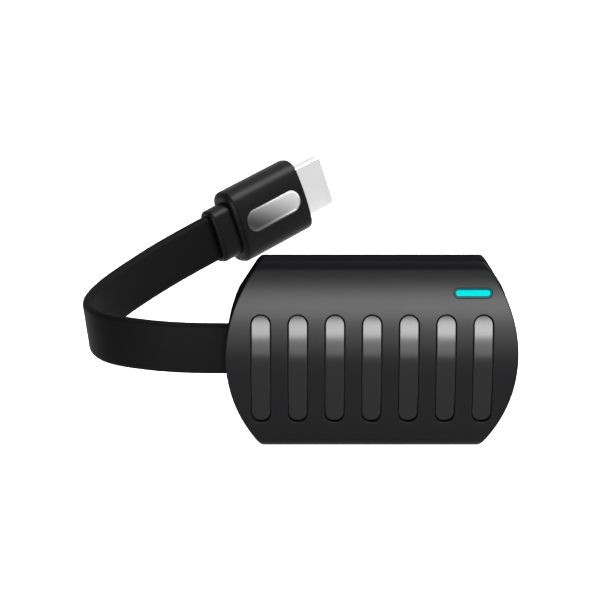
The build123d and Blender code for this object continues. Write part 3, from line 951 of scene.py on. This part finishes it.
# How each point of a cube's grid finds its place on a bar: what is worked out, the
# operation, and what it works on, which is a size, an earlier result or a number
bar_steps = [
    # The grid, drawn closer together towards its borders
    ("angle u", "MULTIPLY", "Grid X", pi / 2),
    ("angle v", "MULTIPLY", "Grid Z", pi / 2),
    ("u", "SINE", "angle u"),
    ("v", "SINE", "angle v"),
    # The pill's outline: half its width at each place along it
    ("half width", "MULTIPLY", "Width", 0.5),
    ("half length", "MULTIPLY", "Length", 0.5),
    ("reach", "SUBTRACT", "half length", "half width"),
    ("along", "MULTIPLY", "v", "half length"),
    ("level", "ABSOLUTE", "along"),
    ("past", "SUBTRACT", "level", "reach"),
    ("over", "MAXIMUM", "past", 0.0),
    ("over squared", "POWER", "over", 2.0),
    ("width squared", "POWER", "half width", 2.0),
    ("left", "SUBTRACT", "width squared", "over squared"),
    ("left", "MAXIMUM", "left", 0.0),
    ("half", "SQRT", "left"),
    ("x", "MULTIPLY", "u", "half"),
    # How far each point is out on the rounded edge, and how far it dips there
    ("x squared", "POWER", "x", 2.0),
    ("away squared", "ADD", "x squared", "over squared"),
    ("away", "SQRT", "away squared"),
    ("inner", "SUBTRACT", "half width", "Edge"),
    ("near", "SUBTRACT", "away", "inner"),
    ("near", "MAXIMUM", "near", 0.0),
    ("near", "MINIMUM", "near", "Edge"),
    ("near squared", "POWER", "near", 2.0),
    ("edge squared", "POWER", "Edge", 2.0),
    ("rest", "SUBTRACT", "edge squared", "near squared"),
    ("rest", "MAXIMUM", "rest", 0.0),
    ("rest", "SQRT", "rest"),
    ("dip", "SUBTRACT", "Edge", "rest"),
    # The case's crown at that height, and the bar's own dome
    ("z", "ADD", "along", "Height"),
    ("z squared", "POWER", "z", 2.0),
    ("crown squared", "POWER", "Crown", 2.0),
    ("root", "SUBTRACT", "crown squared", "z squared"),
    ("root", "SQRT", "root"),
    ("sag", "SUBTRACT", "Crown", "root"),
    ("top", "ADD", "sag", "Recess"),
    ("top", "ADD", "top", "Front"),
    ("bottom", "ADD", "top", "Thickness"),
    ("top", "ADD", "top", "dip"),
    ("bent", "POWER", "v", 2.0),
    ("bent", "MULTIPLY", "bent", "Dome"),
    ("top", "ADD", "top", "bent"),
    ("z", "ADD", "z", "Level"),
]


def bar_tree(bars):
    """Bars that follow the crown: a cube's grid drawn into a pill with a rounded edge."""
    sizes = {"Width": bars.width, "Length": bars.length, "Recess": bars.recess,
             "Thickness": bars.thick, "Edge": bars.edge, "Dome": bars.dome,
             "Crown": crown_radius(), "Height": bars.centre_z,
             "Front": case_centre.y + case_front, "Pitch": bars.spread / (bars.count - 1),
             "Count": bars.count, "First": case_centre.x - bars.spread / 2,
             "Level": case_centre.z}
    tree, given = start_geometry("dongle_bars", sizes)
    value = {label: given.outputs[label] for label in sizes}
    cube = add(tree, "GeometryNodeMeshCube", {"Size": (2, 2, 2), "Vertices X": 33,
                                              "Vertices Y": 3, "Vertices Z": 65})
    spot = add(tree, "GeometryNodeInputPosition")
    grid = add(tree, "ShaderNodeSeparateXYZ", {0: spot.outputs[0]}).outputs
    value["Grid X"], value["Grid Z"] = grid["X"], grid["Z"]
    for name, operation, *terms in bar_steps:
        inputs = {i: value.get(term, term) for i, term in enumerate(terms)}
        value[name] = add(tree, "ShaderNodeMath", inputs, operation=operation).outputs[0]
    share = add(tree, "ShaderNodeMapRange", {
        "Value": grid["Y"], "From Min": -1.0, "From Max": 1.0, "To Min": value["top"],
        "To Max": value["bottom"]})
    there = add(tree, "ShaderNodeCombineXYZ", {"X": value["x"], "Z": value["z"],
                                               "Y": share.outputs["Result"]})
    shaped = add(tree, "GeometryNodeSetPosition", {"Geometry": cube.outputs["Mesh"],
                                                   "Position": there.outputs["Vector"]})
    welded = add(tree, "GeometryNodeMergeByDistance", {
        "Geometry": shaped.outputs["Geometry"], "Distance": speck})
    start = add(tree, "ShaderNodeCombineXYZ", {"X": value["First"]})
    step = add(tree, "ShaderNodeCombineXYZ", {"X": value["Pitch"]})
    row = add(tree, "GeometryNodeMeshLine", {
        "Count": value["Count"], "Start Location": start.outputs["Vector"],
        "Offset": step.outputs["Vector"]}, mode="OFFSET")
    copies = add(tree, "GeometryNodeInstanceOnPoints", {
        "Points": row.outputs["Mesh"], "Instance": welded.outputs["Geometry"]})
    end_geometry(tree, given, copies.outputs["Instances"])
    return tree


class DONGLE_OT_bars(bpy.types.Operator):
    """The polished bars set into the face"""
    bl_idname = "dongle.bars"
    bl_label = "Face bars"

    def execute(self, context):
        mesh = grown("bars", bar_tree(context.scene.dongle_bars), "black_chrome")
        finished("polished_bars", mesh, "case", ["black_chrome"],
                 ["face_bars"])
        return {"FINISHED"}


class DONGLE_OT_window(bpy.types.Operator):
    """The lit window in the face"""
    bl_idname = "dongle.window"
    bl_label = "Window"

    def execute(self, context):
        # From its inner end to its face: a flange behind the wall, and a blunt edge
        flange_back = case_wall * 1.6
        flange_front = case_wall * 1.02
        profile = [(-lens_height / 2, lens_depth), (0.0, lens_depth), (0.0, flange_back),
                   (lens_flange, flange_back), (lens_flange, flange_front),
                   (0.0, flange_front), (0.0, lens_blunt), (-lens_blunt / 2, lens_blunt * 0.3),
                   (-lens_skin, 0.0)]
        inner = lens_height / 2 - lens_skin
        profile += [(-lens_skin - inner * i / 3, 0.0) for i in range(1, 4)]
        rings = rings_of(lens_outline(), profile, on_face)
        mesh = lofted("window", rings, cap_first=False, cap_last=False)
        piece = finished("lit_window", mesh, "case",
                         ["window_rim", "window"], ["indicator_lens"])
        centre = on_face(case_half_length - lens_inset, lens_z, 0.0)
        for face in piece.data.polygons:
            away = face.center - centre
            inside = from_spine(away.x, away.z, lens_length, lens_height) < inner
            at_front = abs(away.y) < lens_front
            face.material_index = 1 if inside and at_front else 0
        return {"FINISHED"}


# The cable's route, from the case's left end wall to the plug's collar
cable_lead_out = 9.7 * MM
cable_route = [
    Vector((-35.4, -74.1, -21.1)) * MM,
    Vector((-45.6, -70.4, -20.6)) * MM,
    Vector((-50.6, -60.3, -20.2)) * MM,
    Vector((-48.9, -49.3, -18.8)) * MM,
    Vector((-41.2, -37.4, -15.5)) * MM,
]
cable_rolls = [0.0, 0.0, 0.0, -2.0, -7.5, -6.5, -6.0, -7.0, -8.0]
overmould_length = 23.5 * MM
collar_length = 6.0 * MM
cable_lead_in = 12.4 * MM


def route_line(samples):
    """Points along the cable's smooth line, its start, and how many control points it has."""
    start = case_centre + Vector((cable_recess - case_half_length, 0, cable_z))
    end = plug_axis * -(overmould_length + collar_length)
    points = [start, start - Vector((cable_lead_out, 0, 0))] + cable_route
    points += [end - plug_axis * cable_lead_in, end]
    curve = bpy.data.curves.new("route", "CURVE")
    curve.dimensions = "3D"
    spline = curve.splines.new("NURBS")
    spline.points.add(len(points) - 1)
    for place, point in zip(spline.points, points):
        place.co = (*point, 1.0)
    spline.order_u = 3
    spline.use_endpoint_u = True
    spline.resolution_u = samples
    mesh = evaluated_mesh(new_object("route", curve))
    line = [v.co.copy() for v in mesh.vertices]
    bpy.data.meshes.remove(mesh)
    return line, start, len(points)


def ribbon_rings(line, controls, outline):
    """The outline carried along the line, upright and turned by the rolls."""
    rings = []
    last = len(line) - 1
    for i, point in enumerate(line):
        along = (line[min(i + 1, last)] - line[max(i - 1, 0)]).normalized()
        if i == 0:
            along = Vector((-1, 0, 0))
        if i == last:
            along = plug_axis
        side = Vector((0, 0, 1)).cross(along).normalized()
        up = along.cross(side)
        place = min(max((controls - 2) * i / last + 0.5, 0.0), controls - 1.0)
        low = min(int(place), controls - 2)
        share = place - low
        roll = cable_rolls[low] * (1 - share) + cable_rolls[low + 1] * share
        if place > controls - 2:
            roll = plug_roll * share + cable_rolls[controls - 2] * (1 - share)
        turn = Matrix.Rotation(radians(roll), 3, along)
        up = turn @ up
        side = turn @ side
        rings.append([point + side * a + up * b for a, b, _, _ in outline])
    return rings


class DONGLE_OT_cable(bpy.types.Operator):
    """The flat cable and its gland in the case"""
    bl_idname = "dongle.cable"
    bl_label = "Flat cable"

    def execute(self, context):
        sizes = context.scene.dongle_cable
        half_a = sizes.thick / 2
        half_b = sizes.width / 2
        corners = [(half_a, -half_b), (half_a, half_b), (-half_a, half_b), (-half_a, -half_b)]
        outline = filleted(corners, [sizes.edge] * 4, 8)
        line, start, controls = route_line(sizes.samples)
        mesh = lofted("cable", ribbon_rings(line, controls, outline))
        cable = finished("flat_lead", mesh, "case", ["jacket"],
                         ["flat_cable"])
        profile = [(g - gland_skin, cable_recess + d)
                   for g, d in reversed(rounded_edge(gland_edge))]
        profile += [(-gland_skin, gland_step), (gland_body, gland_step),
                    (gland_body, gland_end)]
        gland = lofted("gland", rings_of(nose_outline(sizes), profile, flat_left))
        finished("cable_gland_block", gland, "case", ["jacket"],
                 ["cable_gland"])
        return {"FINISHED"}


# Sizes of the plug that its own pieces share
overmould_width = 20.0 * MM
overmould_thick = 9.6 * MM
overmould_crown = 1.1 * MM
overmould_corner = 3.6 * MM
collar_width = 14.6 * MM
collar_thick = 6.3 * MM
collar_crown = 0.4 * MM
collar_corner = 2.4 * MM
badge_length = 18.6 * MM
badge_width = 5.9 * MM
badge_inset = 2.05 * MM
badge_centre = -badge_inset - badge_length / 2
badge_thick = 0.6 * MM
badge_recess = 0.1 * MM
badge_gap = 0.05 * MM
badge_rim_rise = 0.10 * MM
badge_groove = 0.04 * MM
badge_groove_width = 0.12 * MM
badge_pocket_rim = 0.18 * MM
collar_sink = 0.4 * MM
collar_front = 0.1 * MM
collar_rear = 1.0 * MM
cap_inset = 0.3 * MM
shell_pocket = 6.0 * MM
shell_pocket_past = 1.0 * MM
shell_width = 13.9 * MM
shell_thick = 4.45 * MM
shell_reach = 9.8 * MM
shell_seat = 8.0 * MM
shell_sheet = 0.3 * MM
shell_corner = 0.5 * MM
shell_bevel_a = 1.5 * MM
shell_bevel_b = 1.3 * MM
insulator_recess = 1.0 * MM
mouth_depth = 7.4 * MM
mouth_thick = 2.3 * MM
contact_pitch = 1.0 * MM
contact_thick = 0.15 * MM
contact_width = 0.45 * MM
contact_setback = 0.6 * MM


def plug_section_place(x_offset):
    """A place function whose depth runs backwards from a cross-section of the plug."""
    return lambda a, b, depth: in_plug(x_offset - depth, a, b)


def wide_face(a, b, depth):
    """A place on the plug's near wide face: a along the plug, b across it."""
    half = overmould_width / 2
    bulge = (half * half + overmould_crown ** 2) / (2 * overmould_crown)
    surface = overmould_thick / 2 - bulge + sqrt(bulge * bulge - b * b)
    return in_plug(a, depth - surface, b)


def end_rounded(outline, length, front, rear, x_front):
    """A closed bar of one outline, rounded at both ends, from x_front backwards."""
    profile = [(-front - cap_inset, 0.0)]
    profile += [(g, d) for g, d in reversed(rounded_edge(front))]
    profile += [(0.0, front + (length - front - rear) * i / 10) for i in range(1, 10)]
    profile += [(g, length - d) for g, d in rounded_edge(rear, 8)]
    profile += [(-rear - cap_inset, length)]
    return rings_of(outline, profile, plug_section_place(x_front))


def badge_outline():
    """The badge's pill, along the plug and across it."""
    return moved(pill(badge_length, badge_width), badge_centre, 0.0)


class DONGLE_OT_plug_body(bpy.types.Operator):
    """The soft overmould and its boot, with the badge's pocket"""
    bl_idname = "dongle.plug_body"
    bl_label = "Plug body"

    def execute(self, context):
        sizes = context.scene.dongle_plug
        outline = crowned(overmould_width, overmould_thick, overmould_crown,
                          overmould_corner)
        rings = end_rounded(outline, overmould_length, sizes.front, sizes.rear, 0.0)
        body = lofted("body", rings)
        pocket = pocket_cutter(badge_outline(), badge_width, badge_gap,
                               badge_recess + badge_thick, badge_pocket_rim, wide_face)
        profile = [(hair, -shell_pocket_past), (hair, shell_pocket)]
        socket = rings_of(shell_outline(), profile, plug_section_place(0.0))
        body = carved("body_cut", body, [pocket, lofted("socket", socket)])
        finished("plug_body", body, "case", ["overmould"], ["plug_overmold"])
        outline = crowned(collar_width, collar_thick, collar_crown, collar_corner, 10, 10)
        rings = end_rounded(outline, collar_length + collar_sink, collar_front, collar_rear,
                            collar_sink - overmould_length)
        finished("plug_boot", lofted("boot", rings), "case", ["overmould"],
                 ["plug_collar"])
        return {"FINISHED"}


class DONGLE_OT_badge(bpy.types.Operator):
    """The brushed badge with its bright cut edge"""
    bl_idname = "dongle.badge"
    bl_label = "Badge"

    def execute(self, context):
        rim = context.scene.dongle_plug.badge_rim
        deep = badge_recess + badge_thick - hair
        top = badge_recess
        profile = [(g, deep) for g, _ in reversed(spine_steps(badge_width, deep))]
        # Up the side, in over the rim, which rises a little, and down through a fine groove
        # to the brushed flat
        rise, groove = badge_rim_rise, badge_groove
        flat = rim + rise + badge_groove_width
        profile += [(0.0, deep), (0.0, top + hair), (-groove, top - rise / 2),
                    (-rim, top - rise), (-rim - rise, top + groove), (-flat, top + hair)]
        inner = badge_width / 2 - flat
        profile += [(-flat - inner * i / 5, top + hair) for i in range(1, 6)]
        outline = badge_outline()
        mesh = lofted("badge", rings_of(outline, profile, wide_face), False, False)
        piece = finished("plug_badge_plate", mesh, "case",
                         ["badge", "badge_cut"], ["plug_badge"])
        back = plug_pose.inverted()
        for face in piece.data.polygons:
            there = back @ face.center
            out = from_spine(there.x - badge_centre, there.z, badge_length, badge_width)
            face.material_index = 1 if badge_width / 2 - out < rim + hair else 0
        return {"FINISHED"}


def shell_outline():
    """The metal shell's outline: two corners away from the near face are bevelled."""
    half = shell_width / 2
    deep = shell_thick / 2
    corners = [(-deep, half), (-deep, -half), (deep - shell_bevel_a, -half),
               (deep, shell_bevel_b - half), (deep, half - shell_bevel_b),
               (deep - shell_bevel_a, half)]
    return filleted(corners, [shell_corner] * 6, 7)


def tube(name, outline, sheet, lip, reach, place):
    """A sheet metal tube with a rounded lip at its mouth."""
    profile = [(-sheet, reach), (-sheet, lip)]
    profile += [(lip * (1 - sin(t)) - sheet, lip * (1 - cos(t))) for t in (1.2, 0.8, 0.4)]
    profile += [(g, d) for g, d in reversed(rounded_edge(lip))]
    profile += [(0.0, reach * i / 6) for i in range(1, 7)]
    rings = rings_of(outline, profile, place)
    rings.append(rings[0])
    return lofted(name, rings, False, False)


def strip_tree(name, reach, count, first):
    """A row of contact strips with rounded edges, set out at a pitch in the plug's mouth."""
    sizes = {"Reach": reach, "Thickness": contact_thick, "Width": contact_width,
             "Pitch": contact_pitch, "Count": count, "Corner": contact_thick * 0.3}
    tree, given = start_geometry(name, sizes)
    value = given.outputs
    section = add(tree, "GeometryNodeCurvePrimitiveQuadrilateral", {
        "Width": value["Width"], "Height": value["Thickness"]})
    section = add(tree, "GeometryNodeFilletCurve", {
        "Curve": section.outputs["Curve"], "Radius": value["Corner"], "Count": 2}, mode="POLY")
    end = add(tree, "ShaderNodeCombineXYZ", {"X": value["Reach"]})
    line = add(tree, "GeometryNodeCurvePrimitiveLine", {"End": end.outputs["Vector"]})
    strip = add(tree, "GeometryNodeCurveToMesh", {
        "Curve": line.outputs["Curve"], "Profile Curve": section.outputs["Curve"],
        "Fill Caps": True})
    step = add(tree, "ShaderNodeCombineXYZ", {"Z": value["Pitch"]})
    row = add(tree, "GeometryNodeMeshLine", {
        "Count": value["Count"], "Start Location": first,
        "Offset": step.outputs["Vector"]}, mode="OFFSET")
    copies = add(tree, "GeometryNodeInstanceOnPoints", {
        "Points": row.outputs["Mesh"], "Instance": strip.outputs["Mesh"]})
    real = add(tree, "GeometryNodeRealizeInstances", {
        "Geometry": copies.outputs["Instances"]})
    there = add(tree, "GeometryNodeTransform", {
        "Geometry": real.outputs["Geometry"], "Rotation": plug_pose.to_euler()})
    end_geometry(tree, given, there.outputs["Geometry"])
    return tree


class DONGLE_OT_plug_shell(bpy.types.Operator):
    """The metal shell and the contact rows in its mouth"""
    bl_idname = "dongle.plug_shell"
    bl_label = "Plug shell"

    def execute(self, context):
        lip = context.scene.dongle_plug.lip
        mesh = tube("shell", shell_outline(), shell_sheet, lip, shell_reach + shell_seat,
                    plug_section_place(shell_reach))
        finished("plug_metal_shell", mesh, "case", ["nickel"],
                 ["plug_shell"])
        low = shell_reach - insulator_recess - mouth_depth
        level = (mouth_thick - contact_thick) / 2
        rows = []
        for count, side in ((9, 1), (10, -1)):
            first = (low, side * level, -(count - 1) / 2 * contact_pitch)
            tree = strip_tree("plug_contacts", mouth_depth - contact_setback, count, first)
            rows.append(grown("contacts", tree, "gold"))
        finished("plug_contact_rows", joined("contact_rows", rows), "case",
                 ["gold"], ["plug_contacts"])
        return {"FINISHED"}


class DONGLE_OT_button(bpy.types.Operator):
    """The mode button, flush with the round end wall"""
    bl_idname = "dongle.button"
    bl_label = "Mode button"

    def execute(self, context):
        outline = button_outline()
        rim_front = button_back + button_rim_thick
        rings = rings_of(outline, [(button_rim, button_back), (button_rim, rim_front),
                                   (0.0, rim_front + hair)], at_x)
        inner = button_height / 2 - button_edge
        profile = rounded_edge(button_edge)
        profile += [(-button_edge - inner * i / 4, 0.0) for i in range(1, 5)]
        rings += rings_of(outline, profile, on_end_wall)
        mesh = lofted("button", rings, cap_last=False)
        finished("mode_button_cap", mesh, "mode_button", ["satin_abs"],
                 ["mode_button"])
        return {"FINISHED"}


class DONGLE_OT_socket(bpy.types.Operator):
    """The power socket's sheet metal shell, in the end opposite the cable"""
    bl_idname = "dongle.socket"
    bl_label = "Power socket"

    def execute(self, context):
        mouth = case_half_length - socket_recess
        mesh = tube("socket", socket_outline(), socket_sheet, socket_lip, socket_length,
                    lambda y, z, depth: at_x(y, z, mouth - depth))
        finished("power_socket_sleeve", mesh, "case", ["tin"],
                 ["power_socket_shell"])
        return {"FINISHED"}


class DONGLE_OT_inside(bpy.types.Operator):
    """Finishes for the solids that stay as they are: the board and what stands on it"""
    bl_idname = "dongle.inside"
    bl_label = "Inside finishes"

    def execute(self, context):
        kept = {
            "mask": ["main_board"],
            "zinc": ["board_screws"],
            "epoxy": ["processor", "memory_chips", "flash_chip", "wireless_chip"],
            "pad": ["thermal_pad"],
            "spreader": ["heat_spreader"],
            "tin": ["wireless_shield", "antenna", "crystal"],
            "white": ["indicator_lamp", "switch_plunger", "cable_cores", "plug_core_block"],
            "ferrite": ["power_inductor"],
            "ceramic": ["capacitors"],
            "insulator": ["power_socket_tongue", "switch_body", "plug_insulator"],
            "gold": ["power_socket_contacts"],
        }
        for finish_name, nodes in kept.items():
            for node in nodes:
                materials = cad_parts[node].data.materials
                materials.clear()
                materials.append(finish_of(finish_name))
        return {"FINISHED"}


# The picture's middle, seen from the case's middle
camera_right = -16.95 * MM
camera_up = 12.1 * MM

# How much whiter the floor looks than its lit paper, so that it joins the background
floor_lift = 0.72

# The soft lamps: the point from which each is set out, its place and what it is aimed at
# from there in millimetres, its width and height in metres, its radiance, and its spread
# in degrees. Two strips light the face, one box the plug, and one everything from above.
plug_point = Vector((0, 0, 0))
face_point = case_centre + Vector((0, case_front, 0))
lamps = [
    ("face_strip", face_point, (20, -215, 18), (0, 0, 12), 0.30, 0.042, 7.9, 70),
    ("skirt_strip", face_point, (10, -100, -9), (0, 0, 4), 0.16, 0.024, 1.6, 70),
    ("plug_box", plug_point, (254, -93, 322), (-10, -8, -3), 0.24, 0.30, 4.2, 60),
    ("top_box", plug_point, (100, 250, 900), (0, 0, 0), 0.70, 0.70, 2.2, 180),
]


def soft_light(name, place, aim, width, height, radiance, spread):
    """A plain soft light of a given brightness to the eye, which no camera sees."""
    lamp = bpy.data.lights.new(name, "AREA")
    lamp.shape = "RECTANGLE"
    lamp.size = width
    lamp.size_y = height
    lamp.energy = radiance * pi * width * height
    lamp.spread = radians(spread)
    light = new_object(name, lamp)
    light.location = place
    light.rotation_euler = (aim - place).to_track_quat("-Z", "Y").to_euler()
    light.visible_camera = False


def seen_directly(tree):
    """1 where the camera, a reflection or glass looks at the background, 0 for other light."""
    rays = add(tree, "ShaderNodeLightPath").outputs
    either = add(tree, "ShaderNodeMath", {0: rays["Is Camera Ray"], 1: rays["Is Glossy Ray"]},
                 operation="MAXIMUM")
    return add(tree, "ShaderNodeMath", {0: either.outputs[0],
                                        1: rays["Is Transmission Ray"]}, operation="MAXIMUM")


class DONGLE_OT_stage(bpy.types.Operator):
    """The pale floor, the plain studio light and the camera"""
    bl_idname = "dongle.stage"
    bl_label = "Stage"

    def execute(self, context):
        stage = context.scene.dongle_stage
        world = bpy.data.worlds.new("plain_studio")
        context.scene.world = world
        world.use_nodes = True
        tree = world.node_tree
        tree.nodes.clear()
        seen = seen_directly(tree)
        level = add(tree, "ShaderNodeMapRange", {"Value": seen.outputs[0],
                                                 "To Min": stage.ambient, "To Max": 1.0})
        glow = add(tree, "ShaderNodeBackground", {"Strength": level.outputs["Result"],
                                                  "Color": (1, 1, 1, 1)})
        output = add(tree, "ShaderNodeOutputWorld")
        tree.links.new(glow.outputs["Background"], output.inputs["Surface"])

        side = stage.floor
        ground = min(front_low.z, back_low.z)
        mesh = bpy.data.meshes.new("floor")
        mesh.from_pydata([(-side, -side, ground), (side, -side, ground),
                          (side, side, ground), (-side, side, ground)], [], [(0, 1, 2, 3)])
        floor = new_object("floor", mesh)
        material, tree, shader = start_material("pale_matt_paper", {
            "Base Color": linear("#EDEDED"), "Roughness": 0.9, "Specular IOR Level": 0.1,
            "Emission Color": (1, 1, 1, 1)})
        lift = add(tree, "ShaderNodeMapRange", {"Value": seen_directly(tree).outputs[0],
                                                "To Min": 0.0, "To Max": floor_lift})
        tree.links.new(lift.outputs["Result"], shader.inputs["Emission Strength"])
        mesh.materials.append(material)

        for name, start, place, aim, *rest in lamps:
            soft_light(name, start + Vector(place) * MM, start + Vector(aim) * MM, *rest)

        right = Vector((1, 0, 0))
        up = Vector((0, sin(stage.elevation), cos(stage.elevation)))
        toward = right.cross(up)
        camera = bpy.data.cameras.new("camera")
        camera.lens = stage.lens
        camera.clip_start = 10 * MM
        view = new_object("camera", camera)
        place = case_centre + right * camera_right + up * camera_up + toward * stage.distance
        view.matrix_world = Matrix.Translation(place) @ Matrix(
            (right, up, toward)).transposed().to_4x4()
        context.scene.camera = view
        context.scene.view_settings.view_transform = "Standard"
        return {"FINISHED"}


class DONGLE_PT_panel(bpy.types.Panel):
    """The dongle's pieces, in the order in which they are made"""
    bl_idname = "DONGLE_PT_panel"
    bl_label = "Wireless display dongle"
    bl_space_type = "VIEW_3D"
    bl_region_type = "UI"
    bl_category = "Dongle"

    def draw(self, context):
        for operator in operators:
            self.layout.operator(operator.bl_idname)


operators = [DONGLE_OT_stage, DONGLE_OT_covers, DONGLE_OT_bars, DONGLE_OT_window,
             DONGLE_OT_plug_body, DONGLE_OT_badge, DONGLE_OT_plug_shell, DONGLE_OT_cable,
             DONGLE_OT_button, DONGLE_OT_socket, DONGLE_OT_inside]
groups = {"dongle_case": CaseSizes, "dongle_bars": BarSizes, "dongle_cable": CableSizes,
          "dongle_plug": PlugSizes, "dongle_stage": StageSettings,
          "dongle_colours": FinishColours}


def register():
    for name, group in groups.items():
        bpy.utils.register_class(group)
        setattr(bpy.types.Scene, name, bpy.props.PointerProperty(type=group))
    for cls in operators + [DONGLE_PT_panel]:
        bpy.utils.register_class(cls)


def unregister():
    for cls in reversed(operators + [DONGLE_PT_panel]):
        bpy.utils.unregister_class(cls)
    for name, group in reversed(groups.items()):
        delattr(bpy.types.Scene, name)
        bpy.utils.unregister_class(group)


def main():
    register()
    bpy.ops.dongle.stage()
    bpy.ops.dongle.covers()
    bpy.ops.dongle.bars()
    bpy.ops.dongle.window()
    bpy.ops.dongle.plug_body()
    bpy.ops.dongle.badge()
    bpy.ops.dongle.plug_shell()
    bpy.ops.dongle.cable()
    bpy.ops.dongle.button()
    bpy.ops.dongle.socket()
    bpy.ops.dongle.inside()


if __name__ == "__main__":
    main()
